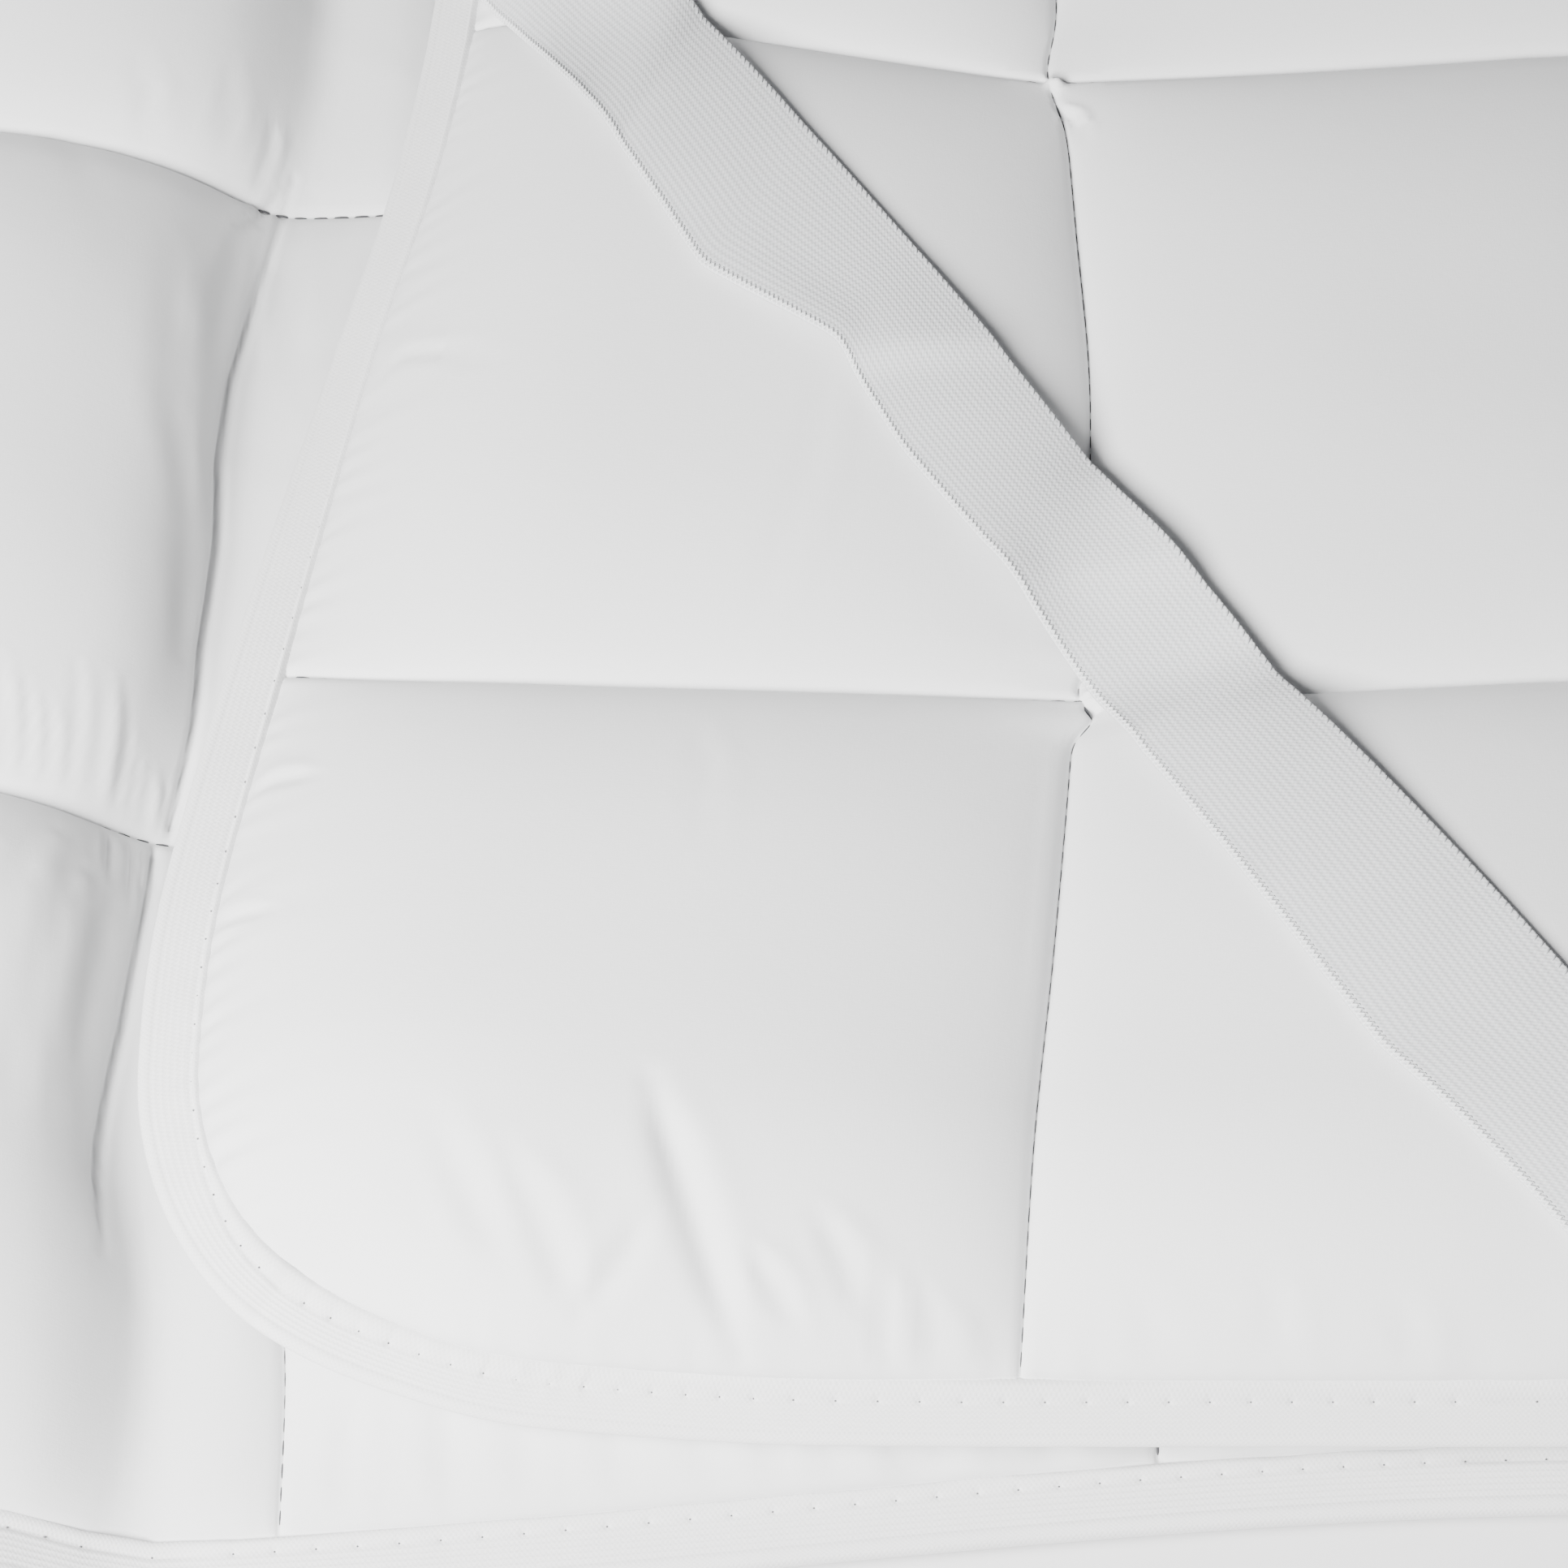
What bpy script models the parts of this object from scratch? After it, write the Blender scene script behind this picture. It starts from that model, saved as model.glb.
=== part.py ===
"""Box-quilted mattress topper, 90 x 200 cm, folded over on itself.

The topper lies on a flat surface with its top side up (lower layer) and is
folded once across its length, so its underside faces up on the upper layer,
with the elastic corner straps on it.  The lower layer reaches past the upper
layer's free end, bends into a valley beside it and rises in a low hump.

Pieces: one quilted filled pad, the edge binding sewn round it, and four
elastic corner straps.  Metres, +Z up, origin at the middle of the footprint.
"""
import math

import bpy
from mathutils import Vector
from mathutils.bvhtree import BVHTree

# ---------------------------------------------------------------- sizes (m)
LENGTH = 2.000            # cut length of the topper, along s
WIDTH = 0.900             # cut width, along t
BOXES_LONG = 11
BOXES_WIDE = 5
PITCH_S = LENGTH / BOXES_LONG
PITCH_T = WIDTH / BOXES_WIDE
CROWN = 0.0170            # half thickness at the middle of a box
SEAM_HALF = 0.0026        # half thickness along a quilting seam
EDGE_HALF = 0.0020        # half thickness of the flat border inside the tape
TAPE = 0.0125             # width of that border, from the cut edge to the stitch line
CORNER_R = 0.080          # radius of the rounded corners
CORNER_ZONE = 0.120       # the corner square that the rounding spreads over
GAP = 0.0005              # clearance between touching pieces
TAPE_WALL = 0.0010        # thickness of the binding tape
STRAP_WALL = 0.0014       # thickness of the elastic strap

FOLD_R = 0.0190           # mid-surface radius of the fold
Z_LOWER = 0.0155          # mid-surface height of the lower layer
Z_UPPER = Z_LOWER + 2 * FOLD_R
DROOP_UPPER = 0.020       # how far the upper layer's edges sink
DROOP_LOWER = 0.008       # how far the lower layer's edges sink
DROOP_REACH = 0.070       # how far in from an edge that sinking starts
LOWER_SHIFT = -0.022      # the lower layer lies this much further forward at its free end
STRAP_LIFT = 0.0030       # height of the pad's underside over the straps beneath it

# The fold as a table along the length: name, length of cloth, turn in degrees.
TOP_FLAT = 0.7137
FOLDS = (
    ("upper layer",  TOP_FLAT,          0.0),
    ("fold",         math.pi * FOLD_R, -180.0),
    ("lower layer",  0.7047,            0.0),
    ("valley",       0.0160,          -38.0),
    ("rise",         0.0120,            0.0),
    ("crest",        0.1100,           64.0),
    ("fall",         0.0280,            0.0),
    ("foot",         0.0500,          -26.0),
    ("free end",     1.0000,            0.0),
)

# How the corner straps gather a short edge: place along the width (from the
# nearer corner), how far the edge is drawn in, how far it is pushed along.
GATHER = (
    # t       inward   along
    (0.000,   0.000,   0.000),
    (0.090,   0.000,   0.000),
    (0.180,   0.011,   0.000),
    (0.270,   0.030,   0.008),
    (0.360,   0.047,   0.018),
    (0.450,   0.052,   0.000),
)
GATHER_REACH = 0.420      # how far along the length the gathering fades out
GATHER_LOWER = 0.45       # the same at the lower layer's free end, as a share

# Where a strap's two long edges meet the short edge (along the width) and the
# long edge (along the length) of the topper.
STRAP_ON_SHORT = (0.354, 0.415)
STRAP_ON_LONG = (0.305, 0.345)
STRAP_STEPS = 10
STRAP_ACROSS = 2

BOX_CUTS = (0.0, 0.13, 0.38, 0.62, 0.87)            # grid lines inside a box
CORNER_CUTS = (0.0, TAPE, 0.045, 0.090, 0.140)      # grid lines of an end box


# ------------------------------------------------------------- small helpers
def smooth(a, b, x):
    """0 below a, 1 above b, smooth between."""
    q = min(1.0, max(0.0, (x - a) / (b - a)))
    return q * q * (3.0 - 2.0 * q)


def row_value(table, key, col):
    """Reads a column of a table with a smooth curve through its rows."""
    if key <= table[0][0]:
        return table[0][col]
    for r0, r1 in zip(table, table[1:]):
        if key <= r1[0]:
            q = (key - r0[0]) / (r1[0] - r0[0])
            q = q * q * (3.0 - 2.0 * q) * 0.5 + q * 0.5
            return r0[col] + (r1[col] - r0[col]) * q
    return table[-1][col]


# ------------------------------------------------ the folded section (x, z)
def section(s):
    """Point and heading of the mid-surface after s metres of cloth."""
    x, z, heading = 0.0, Z_UPPER, 0.0
    rest = s
    for _name, run, turn in FOLDS:
        step = min(run, rest)
        if turn == 0.0:
            x += step * math.cos(heading)
            z += step * math.sin(heading)
        else:
            radius = run / math.radians(turn)
            after = heading + step / radius
            x += radius * (math.sin(after) - math.sin(heading))
            z -= radius * (math.cos(after) - math.cos(heading))
            heading = after
        rest -= step
        if rest <= 1e-12:
            break
    return x, z, heading


def fold_start():
    return FOLDS[0][1]


def fold_end():
    return FOLDS[0][1] + FOLDS[1][1]


# ------------------------------------------------------- the flat pattern
def round_corner(s, t):
    """Moves the square corners of the pattern onto the rounded outline.

    Lines a fixed distance from the cut edge stay that distance from it.
    """
    flip_s = s > LENGTH / 2
    flip_t = t > WIDTH / 2
    a = LENGTH - s if flip_s else s
    b = WIDTH - t if flip_t else t
    if a < CORNER_ZONE and b < CORNER_ZONE:
        swap = a > b
        if swap:
            a, b = b, a
        radius = max(CORNER_R - a, 0.0)
        straight = CORNER_ZONE - a - radius
        half = straight + math.pi * radius / 4.0
        along = (CORNER_ZONE - b) / max(CORNER_ZONE - a, 1e-9) * half
        if along <= straight or radius == 0.0:
            a2, b2 = a, CORNER_ZONE - along
        else:
            angle = (along - straight) / radius
            a2 = a + radius * (1.0 - math.cos(angle))
            b2 = a + radius * (1.0 - math.sin(angle))
        a, b = (b2, a2) if swap else (a2, b2)
    return (LENGTH - a if flip_s else a, WIDTH - b if flip_t else b)


def sink(s, t):
    """How far the mid-surface sinks towards an edge."""
    def ease(d):
        q = min(1.0, max(0.0, d / DROOP_REACH))
        return (1.0 - q) ** 2
    side = ease(min(t, WIDTH - t))
    if s < (fold_start() + fold_end()) / 2:
        depth = DROOP_UPPER * (1.0 - smooth(0.45, fold_start() - 0.01, s))
        end = ease(s)
    else:
        depth = DROOP_LOWER * smooth(fold_end() + 0.01, fold_end() + 0.15, s)
        end = ease(LENGTH - s)
    return depth * (1.0 - (1.0 - side) * (1.0 - end))


def middle(s, t):
    """Mid-surface point of the pattern point (s, t), folded and lying."""
    rs, rt = round_corner(s, t)
    x, z, _heading = section(rs)
    y = rt
    from_corner = min(rt, WIDTH - rt)
    inward = row_value(GATHER, from_corner, 1)
    along = row_value(GATHER, from_corner, 2) * (1.0 if rt < WIDTH / 2 else -1.0)
    upper = 1.0 - smooth(0.0, GATHER_REACH, rs)
    lower = GATHER_LOWER * (1.0 - smooth(0.0, 0.6 * GATHER_REACH, LENGTH - rs))
    x += inward * (upper + lower)
    y += along * (upper + lower)
    if rs > fold_end():
        y += LOWER_SHIFT * smooth(fold_end() + 0.25, fold_end() + 0.80, rs)
    z -= sink(s, t)
    return Vector((x, y, z))


def normal(s, t):
    """Unit normal of the mid-surface; it points up on the upper layer."""
    nudge, eps = 0.0015, 0.001
    s = min(LENGTH - nudge, max(nudge, s))
    t = min(WIDTH - nudge, max(nudge, t))
    ds = middle(s + eps, t) - middle(s - eps, t)
    dt = middle(s, t + eps) - middle(s, t - eps)
    return ds.cross(dt).normalized()


def crown_profile(u):
    """Cross-section of a stuffed box between two seams, 0 to 1 to 0."""
    q = abs(2.0 * u - 1.0)
    return max(0.0, 1.0 - q ** 2.6) ** 0.55


def box_place(value, pitch, whole):
    """Place inside its box, 0 to 1; the end boxes start at the stitch line."""
    index = min(int(value / pitch + 1e-9), int(round(whole / pitch)) - 1)
    low, high = index * pitch, (index + 1) * pitch
    if index == 0:
        low = TAPE
    if index == int(round(whole / pitch)) - 1:
        high = whole - TAPE
    return min(1.0, max(0.0, (value - low) / (high - low)))


def half_thickness(s, t):
    if min(s, t, LENGTH - s, WIDTH - t) <= TAPE + 1e-6:
        return EDGE_HALF
    fill = (crown_profile(box_place(s, PITCH_S, LENGTH))
            * crown_profile(box_place(t, PITCH_T, WIDTH)))
    return SEAM_HALF + (CROWN - SEAM_HALF) * fill


def squeeze(s):
    """The filling is pressed on the inside of the fold and of the valley."""
    at_fold = 1.0 - smooth(0.0, 0.045, abs(s - (fold_start() + fold_end()) / 2))
    valley_at = fold_end() + FOLDS[2][1] + FOLDS[3][1] / 2
    at_valley = 1.0 - smooth(0.0, 0.035, abs(s - valley_at))
    return 1.0 - 0.22 * at_fold - 0.35 * at_valley


def plan_distance(point, a, b):
    """Distance in plan from a point to the line piece a-b."""
    px, py = point.x - a.x, point.y - a.y
    dx, dy = b.x - a.x, b.y - a.y
    q = min(1.0, max(0.0, (px * dx + py * dy) / (dx * dx + dy * dy)))
    return math.hypot(px - q * dx, py - q * dy)


def strap_ends(at_far_end, at_rear):
    """Four plan points of a strap: its two long edges, from short to long edge."""
    inset = TAPE + 0.0010

    def place(s, t):
        return middle(LENGTH - s if at_far_end else s, WIDTH - t if at_rear else t)
    short = [place(inset, t) for t in STRAP_ON_SHORT]
    long = [place(s, inset) for s in STRAP_ON_LONG]
    return short, long


LOWER_STRAPS = []
for rear in (False, True):
    short_pts, long_pts = strap_ends(True, rear)
    LOWER_STRAPS.append(((short_pts[0] + short_pts[1]) / 2, (long_pts[0] + long_pts[1]) / 2))


def surface(s, t, side):
    """Point of the pad's skin; side +1 is the topper's underside."""
    mid, up = middle(s, t), normal(s, t)
    thick = half_thickness(s, t)
    if side < 0 and thick > EDGE_HALF:
        thick = max(EDGE_HALF, thick * squeeze(s))
    point = mid + up * thick * side
    if side > 0 and s > (fold_start() + fold_end()) / 2:
        floor = 0.0
        if s > LENGTH - 2.6 * PITCH_S:
            near = min(plan_distance(point, a, b) for a, b in LOWER_STRAPS)
            if near < 0.060:
                floor = STRAP_LIFT
        point.z = max(point.z, floor)
    return point


# ------------------------------------------------------------- grid lines
def grid_lines(count, pitch, extra=()):
    whole = count * pitch
    lines = []
    for k in range(count):
        if k == 0:
            lines += list(CORNER_CUTS)
        elif k == count - 1:
            lines += [k * pitch] + [whole - c for c in reversed(CORNER_CUTS)]
        else:
            lines += [(k + f) * pitch for f in BOX_CUTS]
    fixed = sorted(set(round(v, 6) for v in lines))
    for v in extra:
        near = min(fixed, key=lambda w: abs(w - v))
        if abs(near - v) > 0.0072:
            fixed.append(round(v, 6))
            fixed.sort()
    return fixed


def fold_lines():
    """Extra grid lines where the section bends."""
    out, at = [], 0.0
    for name, run, turn in FOLDS[:-1]:
        if turn:
            pieces = {"fold": 6, "valley": 1, "crest": 4, "foot": 1}[name]
            out += [at + run * i / pieces for i in range(pieces + 1)]
        at += run
    return out


S_LINES = grid_lines(BOXES_LONG, PITCH_S, fold_lines())
T_LINES = grid_lines(BOXES_WIDE, PITCH_T)


# ------------------------------------------------------------ mesh building
def new_object(name, verts, faces, colour, roughness, smooth_angle=40.0):
    mesh = bpy.data.meshes.new(name)
    mesh.from_pydata([tuple(v) for v in verts], [], faces)
    mesh.validate()
    mesh.update()
    mesh.shade_smooth()
    mesh.set_sharp_from_angle(angle=math.radians(smooth_angle))
    material = bpy.data.materials.new(name + "_cloth")
    material.use_nodes = True
    shader = material.node_tree.nodes["Principled BSDF"]
    shader.inputs["Base Color"].default_value = (*colour, 1.0)
    shader.inputs["Roughness"].default_value = roughness
    shader.inputs["Metallic"].default_value = 0.0
    mesh.materials.append(material)
    obj = bpy.data.objects.new(name, mesh)
    bpy.context.scene.collection.objects.link(obj)
    obj.parent = ROOT
    return obj


def edge_walk():
    """Grid indices once round the pad's edge: front, far end, rear, near end."""
    ns, nt = len(S_LINES), len(T_LINES)
    walk = [(i, 0) for i in range(ns - 1)]
    walk += [(ns - 1, j) for j in range(nt - 1)]
    walk += [(i, nt - 1) for i in range(ns - 1, 0, -1)]
    walk += [(0, j) for j in range(nt - 1, 0, -1)]
    return walk


def build_pad():
    ns, nt = len(S_LINES), len(T_LINES)
    verts, index = [], {}
    for side in (1, -1):
        for i, s in enumerate(S_LINES):
            for j, t in enumerate(T_LINES):
                index[side, i, j] = len(verts)
                verts.append(surface(s, t, side))
    faces = []
    for i in range(ns - 1):
        for j in range(nt - 1):
            a, b = index[1, i, j], index[1, i + 1, j]
            c, d = index[1, i + 1, j + 1], index[1, i, j + 1]
            faces += [(a, b, c), (a, c, d)]
            a, b = index[-1, i, j], index[-1, i + 1, j]
            c, d = index[-1, i + 1, j + 1], index[-1, i, j + 1]
            faces += [(a, c, b), (a, d, c)]
    walk = edge_walk()
    for (i0, j0), (i1, j1) in zip(walk, walk[1:] + walk[:1]):
        a, b = index[1, i0, j0], index[1, i1, j1]
        c, d = index[-1, i1, j1], index[-1, i0, j0]
        faces += [(a, d, c), (a, c, b)]
    return verts, faces


def inner_index(i, j):
    ns, nt = len(S_LINES), len(T_LINES)
    return (min(max(i, 1), ns - 2), min(max(j, 1), nt - 2))


def build_binding():
    """A folded tape, U-shaped in section, once round the edge."""
    walk = edge_walk()
    rings = []
    reach = 0.96
    for k, (i, j) in enumerate(walk):
        s, t = S_LINES[i], T_LINES[j]
        edge, up = middle(s, t), normal(s, t)
        ii, jj = inner_index(i, j)
        s2, t2 = S_LINES[ii], T_LINES[jj]
        inner = edge.lerp(middle(s2, t2), reach)
        up2 = up.lerp(normal(s2, t2), reach).normalized()
        before, after = walk[k - 1], walk[(k + 1) % len(walk)]
        tangent = (middle(S_LINES[after[0]], T_LINES[after[1]])
                   - middle(S_LINES[before[0]], T_LINES[before[1]]))
        out = tangent.cross(up).normalized()
        if out.dot(edge - inner) < 0:
            out = -out
        low, high = EDGE_HALF + GAP, EDGE_HALF + GAP + TAPE_WALL
        rings.append((
            inner + up2 * high,
            edge + up * (high * 0.8) + out * (GAP + TAPE_WALL),
            edge - up * (high * 0.8) + out * (GAP + TAPE_WALL),
            inner - up2 * high,
            inner - up2 * low,
            edge - up * low + out * GAP,
            edge + up * low + out * GAP,
            inner + up2 * low,
        ))
    verts = [p for ring in rings for p in ring]
    count, per = len(rings), len(rings[0])
    at_inner = (True, False, False, True, True, False, False, True)
    faces = []
    for k in range(count):
        m = (k + 1) % count
        on_long_edge = walk[k][1] == walk[m][1]
        for q in range(per):
            r = (q + 1) % per
            a, b = k * per + q, m * per + q
            c, d = m * per + r, k * per + r
            # Each leg is split along the same diagonal as the border it covers.
            from_edge = not at_inner[q]
            at_rim = from_edge and not at_inner[r]
            if (at_rim and q < 4) or (not at_rim and at_inner[q] == at_inner[r]) or (
                    not at_rim and from_edge == on_long_edge):
                faces += [(a, b, c), (a, c, d)]
            else:
                faces += [(a, b, d), (b, c, d)]
    return verts, faces


def outer_hull(points, up):
    """Taut line over (up) or under the given (distance, height) points."""
    sign = 1.0 if up else -1.0
    hull = []
    for p in points:
        while len(hull) > 1:
            (x1, z1), (x2, z2) = hull[-2], hull[-1]
            if (x2 - x1) * (sign * p[1] - sign * z1) - (sign * z2 - sign * z1) * (p[0] - x1) >= 0:
                hull.pop()
            else:
                break
        hull.append(p)
    return hull


def on_line(hull, x):
    for (x1, z1), (x2, z2) in zip(hull, hull[1:]):
        if x <= x2 + 1e-12:
            return z1 + (z2 - z1) * (x - x1) / (x2 - x1)
    return hull[-1][1]


def build_strap(tree, at_far_end, at_rear):
    """A flat ribbon pulled straight across a corner, over or under the pad."""
    short, long = strap_ends(at_far_end, at_rear)
    clear = 0.0018 if not at_far_end else 0.0009
    over = not at_far_end
    probe = Vector((0, 0, -1.0 if over else 1.0))
    start_z = 1.0 if over else -1.0
    heights = []
    samples = STRAP_STEPS * 12
    for k in range(samples + 1):
        q = k / samples
        best = None
        for m in range(9):
            w = -0.04 + 1.08 * m / 8
            p = short[0].lerp(short[1], w).lerp(long[0].lerp(long[1], w), q)
            hit = tree.ray_cast(Vector((p.x, p.y, start_z)), probe)[0]
            if hit is None:
                continue
            z = hit.z
            best = z if best is None else (max(best, z) if over else min(best, z))
        heights.append((q, best + (clear if over else -clear)))
    hull = outer_hull(heights, over)
    bends = [q for q, _z in hull]
    stops = list(bends)
    for k in range(STRAP_STEPS + 1):
        q = k / STRAP_STEPS
        if min(abs(q - other) for other in stops) > 0.4 / STRAP_STEPS:
            stops.append(q)
    stops.sort()
    verts = []
    for q in stops:
        near = on_line(hull, q)
        far = near + (STRAP_WALL if over else -STRAP_WALL)
        for level in (near, far):
            for m in range(STRAP_ACROSS + 1):
                w = m / STRAP_ACROSS
                p = short[0].lerp(short[1], w).lerp(long[0].lerp(long[1], w), q)
                verts.append(Vector((p.x, p.y, level)))
    n = STRAP_ACROSS + 1
    row = 2 * n
    faces = []
    for k in range(len(stops) - 1):
        a, b = k * row, (k + 1) * row
        for m in range(STRAP_ACROSS):
            faces.append((a + m, a + m + 1, b + m + 1, b + m))
            faces.append((a + n + m, b + n + m, b + n + m + 1, a + n + m + 1))
        faces.append((a, b, b + n, a + n))
        faces.append((a + n - 1, a + row - 1, b + row - 1, b + n - 1))
    last = (len(stops) - 1) * row
    for m in range(STRAP_ACROSS):
        faces.append((m, n + m, n + m + 1, m + 1))
        faces.append((last + m, last + m + 1, last + n + m + 1, last + n + m))
    return verts, faces


def turn_outward(verts, faces):
    """Flips every face when the closed shape has a negative volume."""
    volume = 0.0
    for face in faces:
        for i in range(1, len(face) - 1):
            a, b, c = verts[face[0]], verts[face[i]], verts[face[i + 1]]
            volume += a.dot(b.cross(c))
    return faces if volume > 0 else [tuple(reversed(f)) for f in faces]


# ------------------------------------------------------------------- build
for old in list(bpy.data.objects):
    bpy.data.objects.remove(old, do_unlink=True)

ROOT = bpy.data.objects.new("topper", None)
bpy.context.scene.collection.objects.link(ROOT)

pad_verts, pad_faces = build_pad()
pad_faces = turn_outward(pad_verts, pad_faces)
bind_verts, bind_faces = build_binding()
bind_faces = turn_outward(bind_verts, bind_faces)

tree = BVHTree.FromPolygons(pad_verts, pad_faces)
straps = {}
for far in (False, True):
    for rear in (False, True):
        name = "strap_{}_{}".format("lower" if far else "upper", "rear" if rear else "front")
        verts, faces = build_strap(tree, far, rear)
        straps[name] = (verts, turn_outward(verts, faces))

# The origin goes to the middle of the footprint, on the resting plane.
everything = bind_verts + pad_verts
CENTRE = Vector((
    (min(v.x for v in everything) + max(v.x for v in everything)) / 2,
    (min(v.y for v in everything) + max(v.y for v in everything)) / 2,
    0.0,
))

new_object("pad", [v - CENTRE for v in pad_verts], pad_faces, (0.86, 0.87, 0.88), 0.62, 60.0)
new_object("binding", [v - CENTRE for v in bind_verts], bind_faces, (0.90, 0.90, 0.91), 0.75, 50.0)
for name, (verts, faces) in straps.items():
    new_object(name, [v - CENTRE for v in verts], faces, (0.82, 0.84, 0.86), 0.80, 40.0)
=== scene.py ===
"""Looks of the folded quilted mattress topper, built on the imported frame.

Every piece is made in the topper's own pattern: s runs 2 m along the length,
t runs 0.9 m across the width.  Side +1 is the underside (it faces up on the
upper layer), side -1 is the top side (it faces up on the lower layer).
"""
import math

import bmesh
import bpy
import numpy as np
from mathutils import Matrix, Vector
from mathutils.bvhtree import BVHTree


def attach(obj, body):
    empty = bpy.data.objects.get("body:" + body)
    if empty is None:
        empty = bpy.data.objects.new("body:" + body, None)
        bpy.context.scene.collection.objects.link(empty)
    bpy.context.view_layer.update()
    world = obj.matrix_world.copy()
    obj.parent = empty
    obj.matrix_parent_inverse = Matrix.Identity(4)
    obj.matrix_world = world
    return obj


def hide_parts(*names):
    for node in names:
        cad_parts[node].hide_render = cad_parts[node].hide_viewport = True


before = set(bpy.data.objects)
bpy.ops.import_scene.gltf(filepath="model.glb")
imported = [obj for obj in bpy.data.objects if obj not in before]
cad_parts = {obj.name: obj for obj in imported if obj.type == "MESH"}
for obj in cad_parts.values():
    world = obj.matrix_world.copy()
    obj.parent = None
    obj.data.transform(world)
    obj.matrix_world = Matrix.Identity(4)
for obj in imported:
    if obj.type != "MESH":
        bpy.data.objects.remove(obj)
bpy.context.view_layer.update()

CENTRE = np.array([0.1218, 0.4393, 0.0])     # pattern frame to the part's frame

# ============================================================ the topper's shape
LENGTH, WIDTH = 2.000, 0.900
BOXES_LONG, BOXES_WIDE = 11, 5
PITCH_S, PITCH_T = LENGTH / BOXES_LONG, WIDTH / BOXES_WIDE
CROWN = 0.0172            # half thickness at the middle of a box
SEAM_HALF = 0.0016        # half thickness along a quilting seam
EDGE_HALF = 0.0017        # half thickness of the border inside the tape
TAPE = 0.0125             # width of that border
LIP = 0.0010              # how steeply two boxes rise out of a seam
CORNER_R = 0.086
CORNER_ZONE = 0.130
FOLD_R = 0.0190
Z_LOWER = 0.0155
Z_UPPER = Z_LOWER + 2 * FOLD_R
DROOP_END, DROOP_SIDE, DROOP_LOWER = 0.0120, 0.0250, 0.0085
DROOP_REACH = 0.070
LOWER_SHIFT = -0.024

TOP_FLAT = 0.7137
FOLDS = (
    # name          cloth (m)          turn (degrees)
    ("upper layer", TOP_FLAT,          0.0),
    ("fold",        np.pi * FOLD_R, -180.0),
    ("lower layer", 0.7047,            0.0),
    ("valley",      0.0160,          -38.0),
    ("rise",        0.0120,            0.0),
    ("crest",       0.1100,           64.0),
    ("fall",        0.0280,            0.0),
    ("foot",        0.0500,          -26.0),
    ("free end",    1.0000,            0.0),
)
FOLD_START = FOLDS[0][1]
FOLD_END = FOLDS[0][1] + FOLDS[1][1]
FOLD_MID = (FOLD_START + FOLD_END) / 2
VALLEY_AT = FOLD_END + FOLDS[2][1] + FOLDS[3][1] / 2

GATHER = (
    # place along   short edge         first seam
    # the width     inward   along     inward   along
    (0.000,         0.0000,  0.0000,   0.0020,  0.0000),
    (0.060,        -0.0012,  0.0000,   0.0060, -0.0020),
    (0.110,         0.0000,  0.0000,   0.0115, -0.0045),
    (0.180,         0.0123, -0.0040,   0.0180, -0.0090),
    (0.270,         0.0308,  0.0070,   0.0240, -0.0105),
    (0.315,         0.0425,  0.0098,   0.0222, -0.0115),
    (0.360,         0.0500,  0.0120,   0.0205, -0.0125),
    (0.450,         0.0520,  0.0000,   0.0180,  0.0000),
)
# the front edge near the corner, drawn back: place along the length, how far
CORNER_BACK = (
    (0.000, 0.0000), (0.020, 0.0016), (0.036, 0.0042), (0.055, 0.0059),
    (0.075, 0.0049), (0.092, 0.0034), (0.128, 0.0008), (0.170, 0.0000),
)
# how much steeper the tape hangs on the short edge: place along the width, degrees
TAPE_TURN = (
    (0.000, 0.0), (0.190, 0.0), (0.225, 5.0), (0.260, 13.0), (0.290, 12.0),
    (0.320, 9.0), (0.350, 8.0), (0.450, 8.0),
)
GATHER_REACH = 0.420
GATHER_LOWER = 0.45

VALLEY_LINE = (
    # place along the width, how far right the valley lies of its mean line
    (0.000, -0.001),
    (0.060, -0.002),
    (0.100, -0.0080),
    (0.150, -0.0065),
    (0.180, -0.0035),
    (0.210,  0.0020),
    (0.260,  0.0055),
    (0.310,  0.0075),
    (0.340,  0.0095),
    (0.370,  0.0160),
    (0.450,  0.0180),
    (0.560,  0.0080),
    (0.700,  0.0010),
    (0.900, -0.0060),
)


def smooth(a, b, x):
    q = np.clip((x - a) / (b - a), 0.0, 1.0)
    return q * q * (3.0 - 2.0 * q)


def through(rows, col, x):
    """A smooth curve through a column of a table whose first column is the place."""
    px = np.array([r[0] for r in rows])
    py = np.array([r[col] for r in rows])
    slope = np.gradient(py, px)
    i = np.clip(np.searchsorted(px, x, side="right") - 1, 0, len(px) - 2)
    h = px[i + 1] - px[i]
    q = np.clip((x - px[i]) / h, 0.0, 1.0)
    q2, q3 = q * q, q * q * q
    return ((2 * q3 - 3 * q2 + 1) * py[i] + (q3 - 2 * q2 + q) * h * slope[i]
            + (3 * q2 - 2 * q3) * py[i + 1] + (q3 - q2) * h * slope[i + 1])


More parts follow.
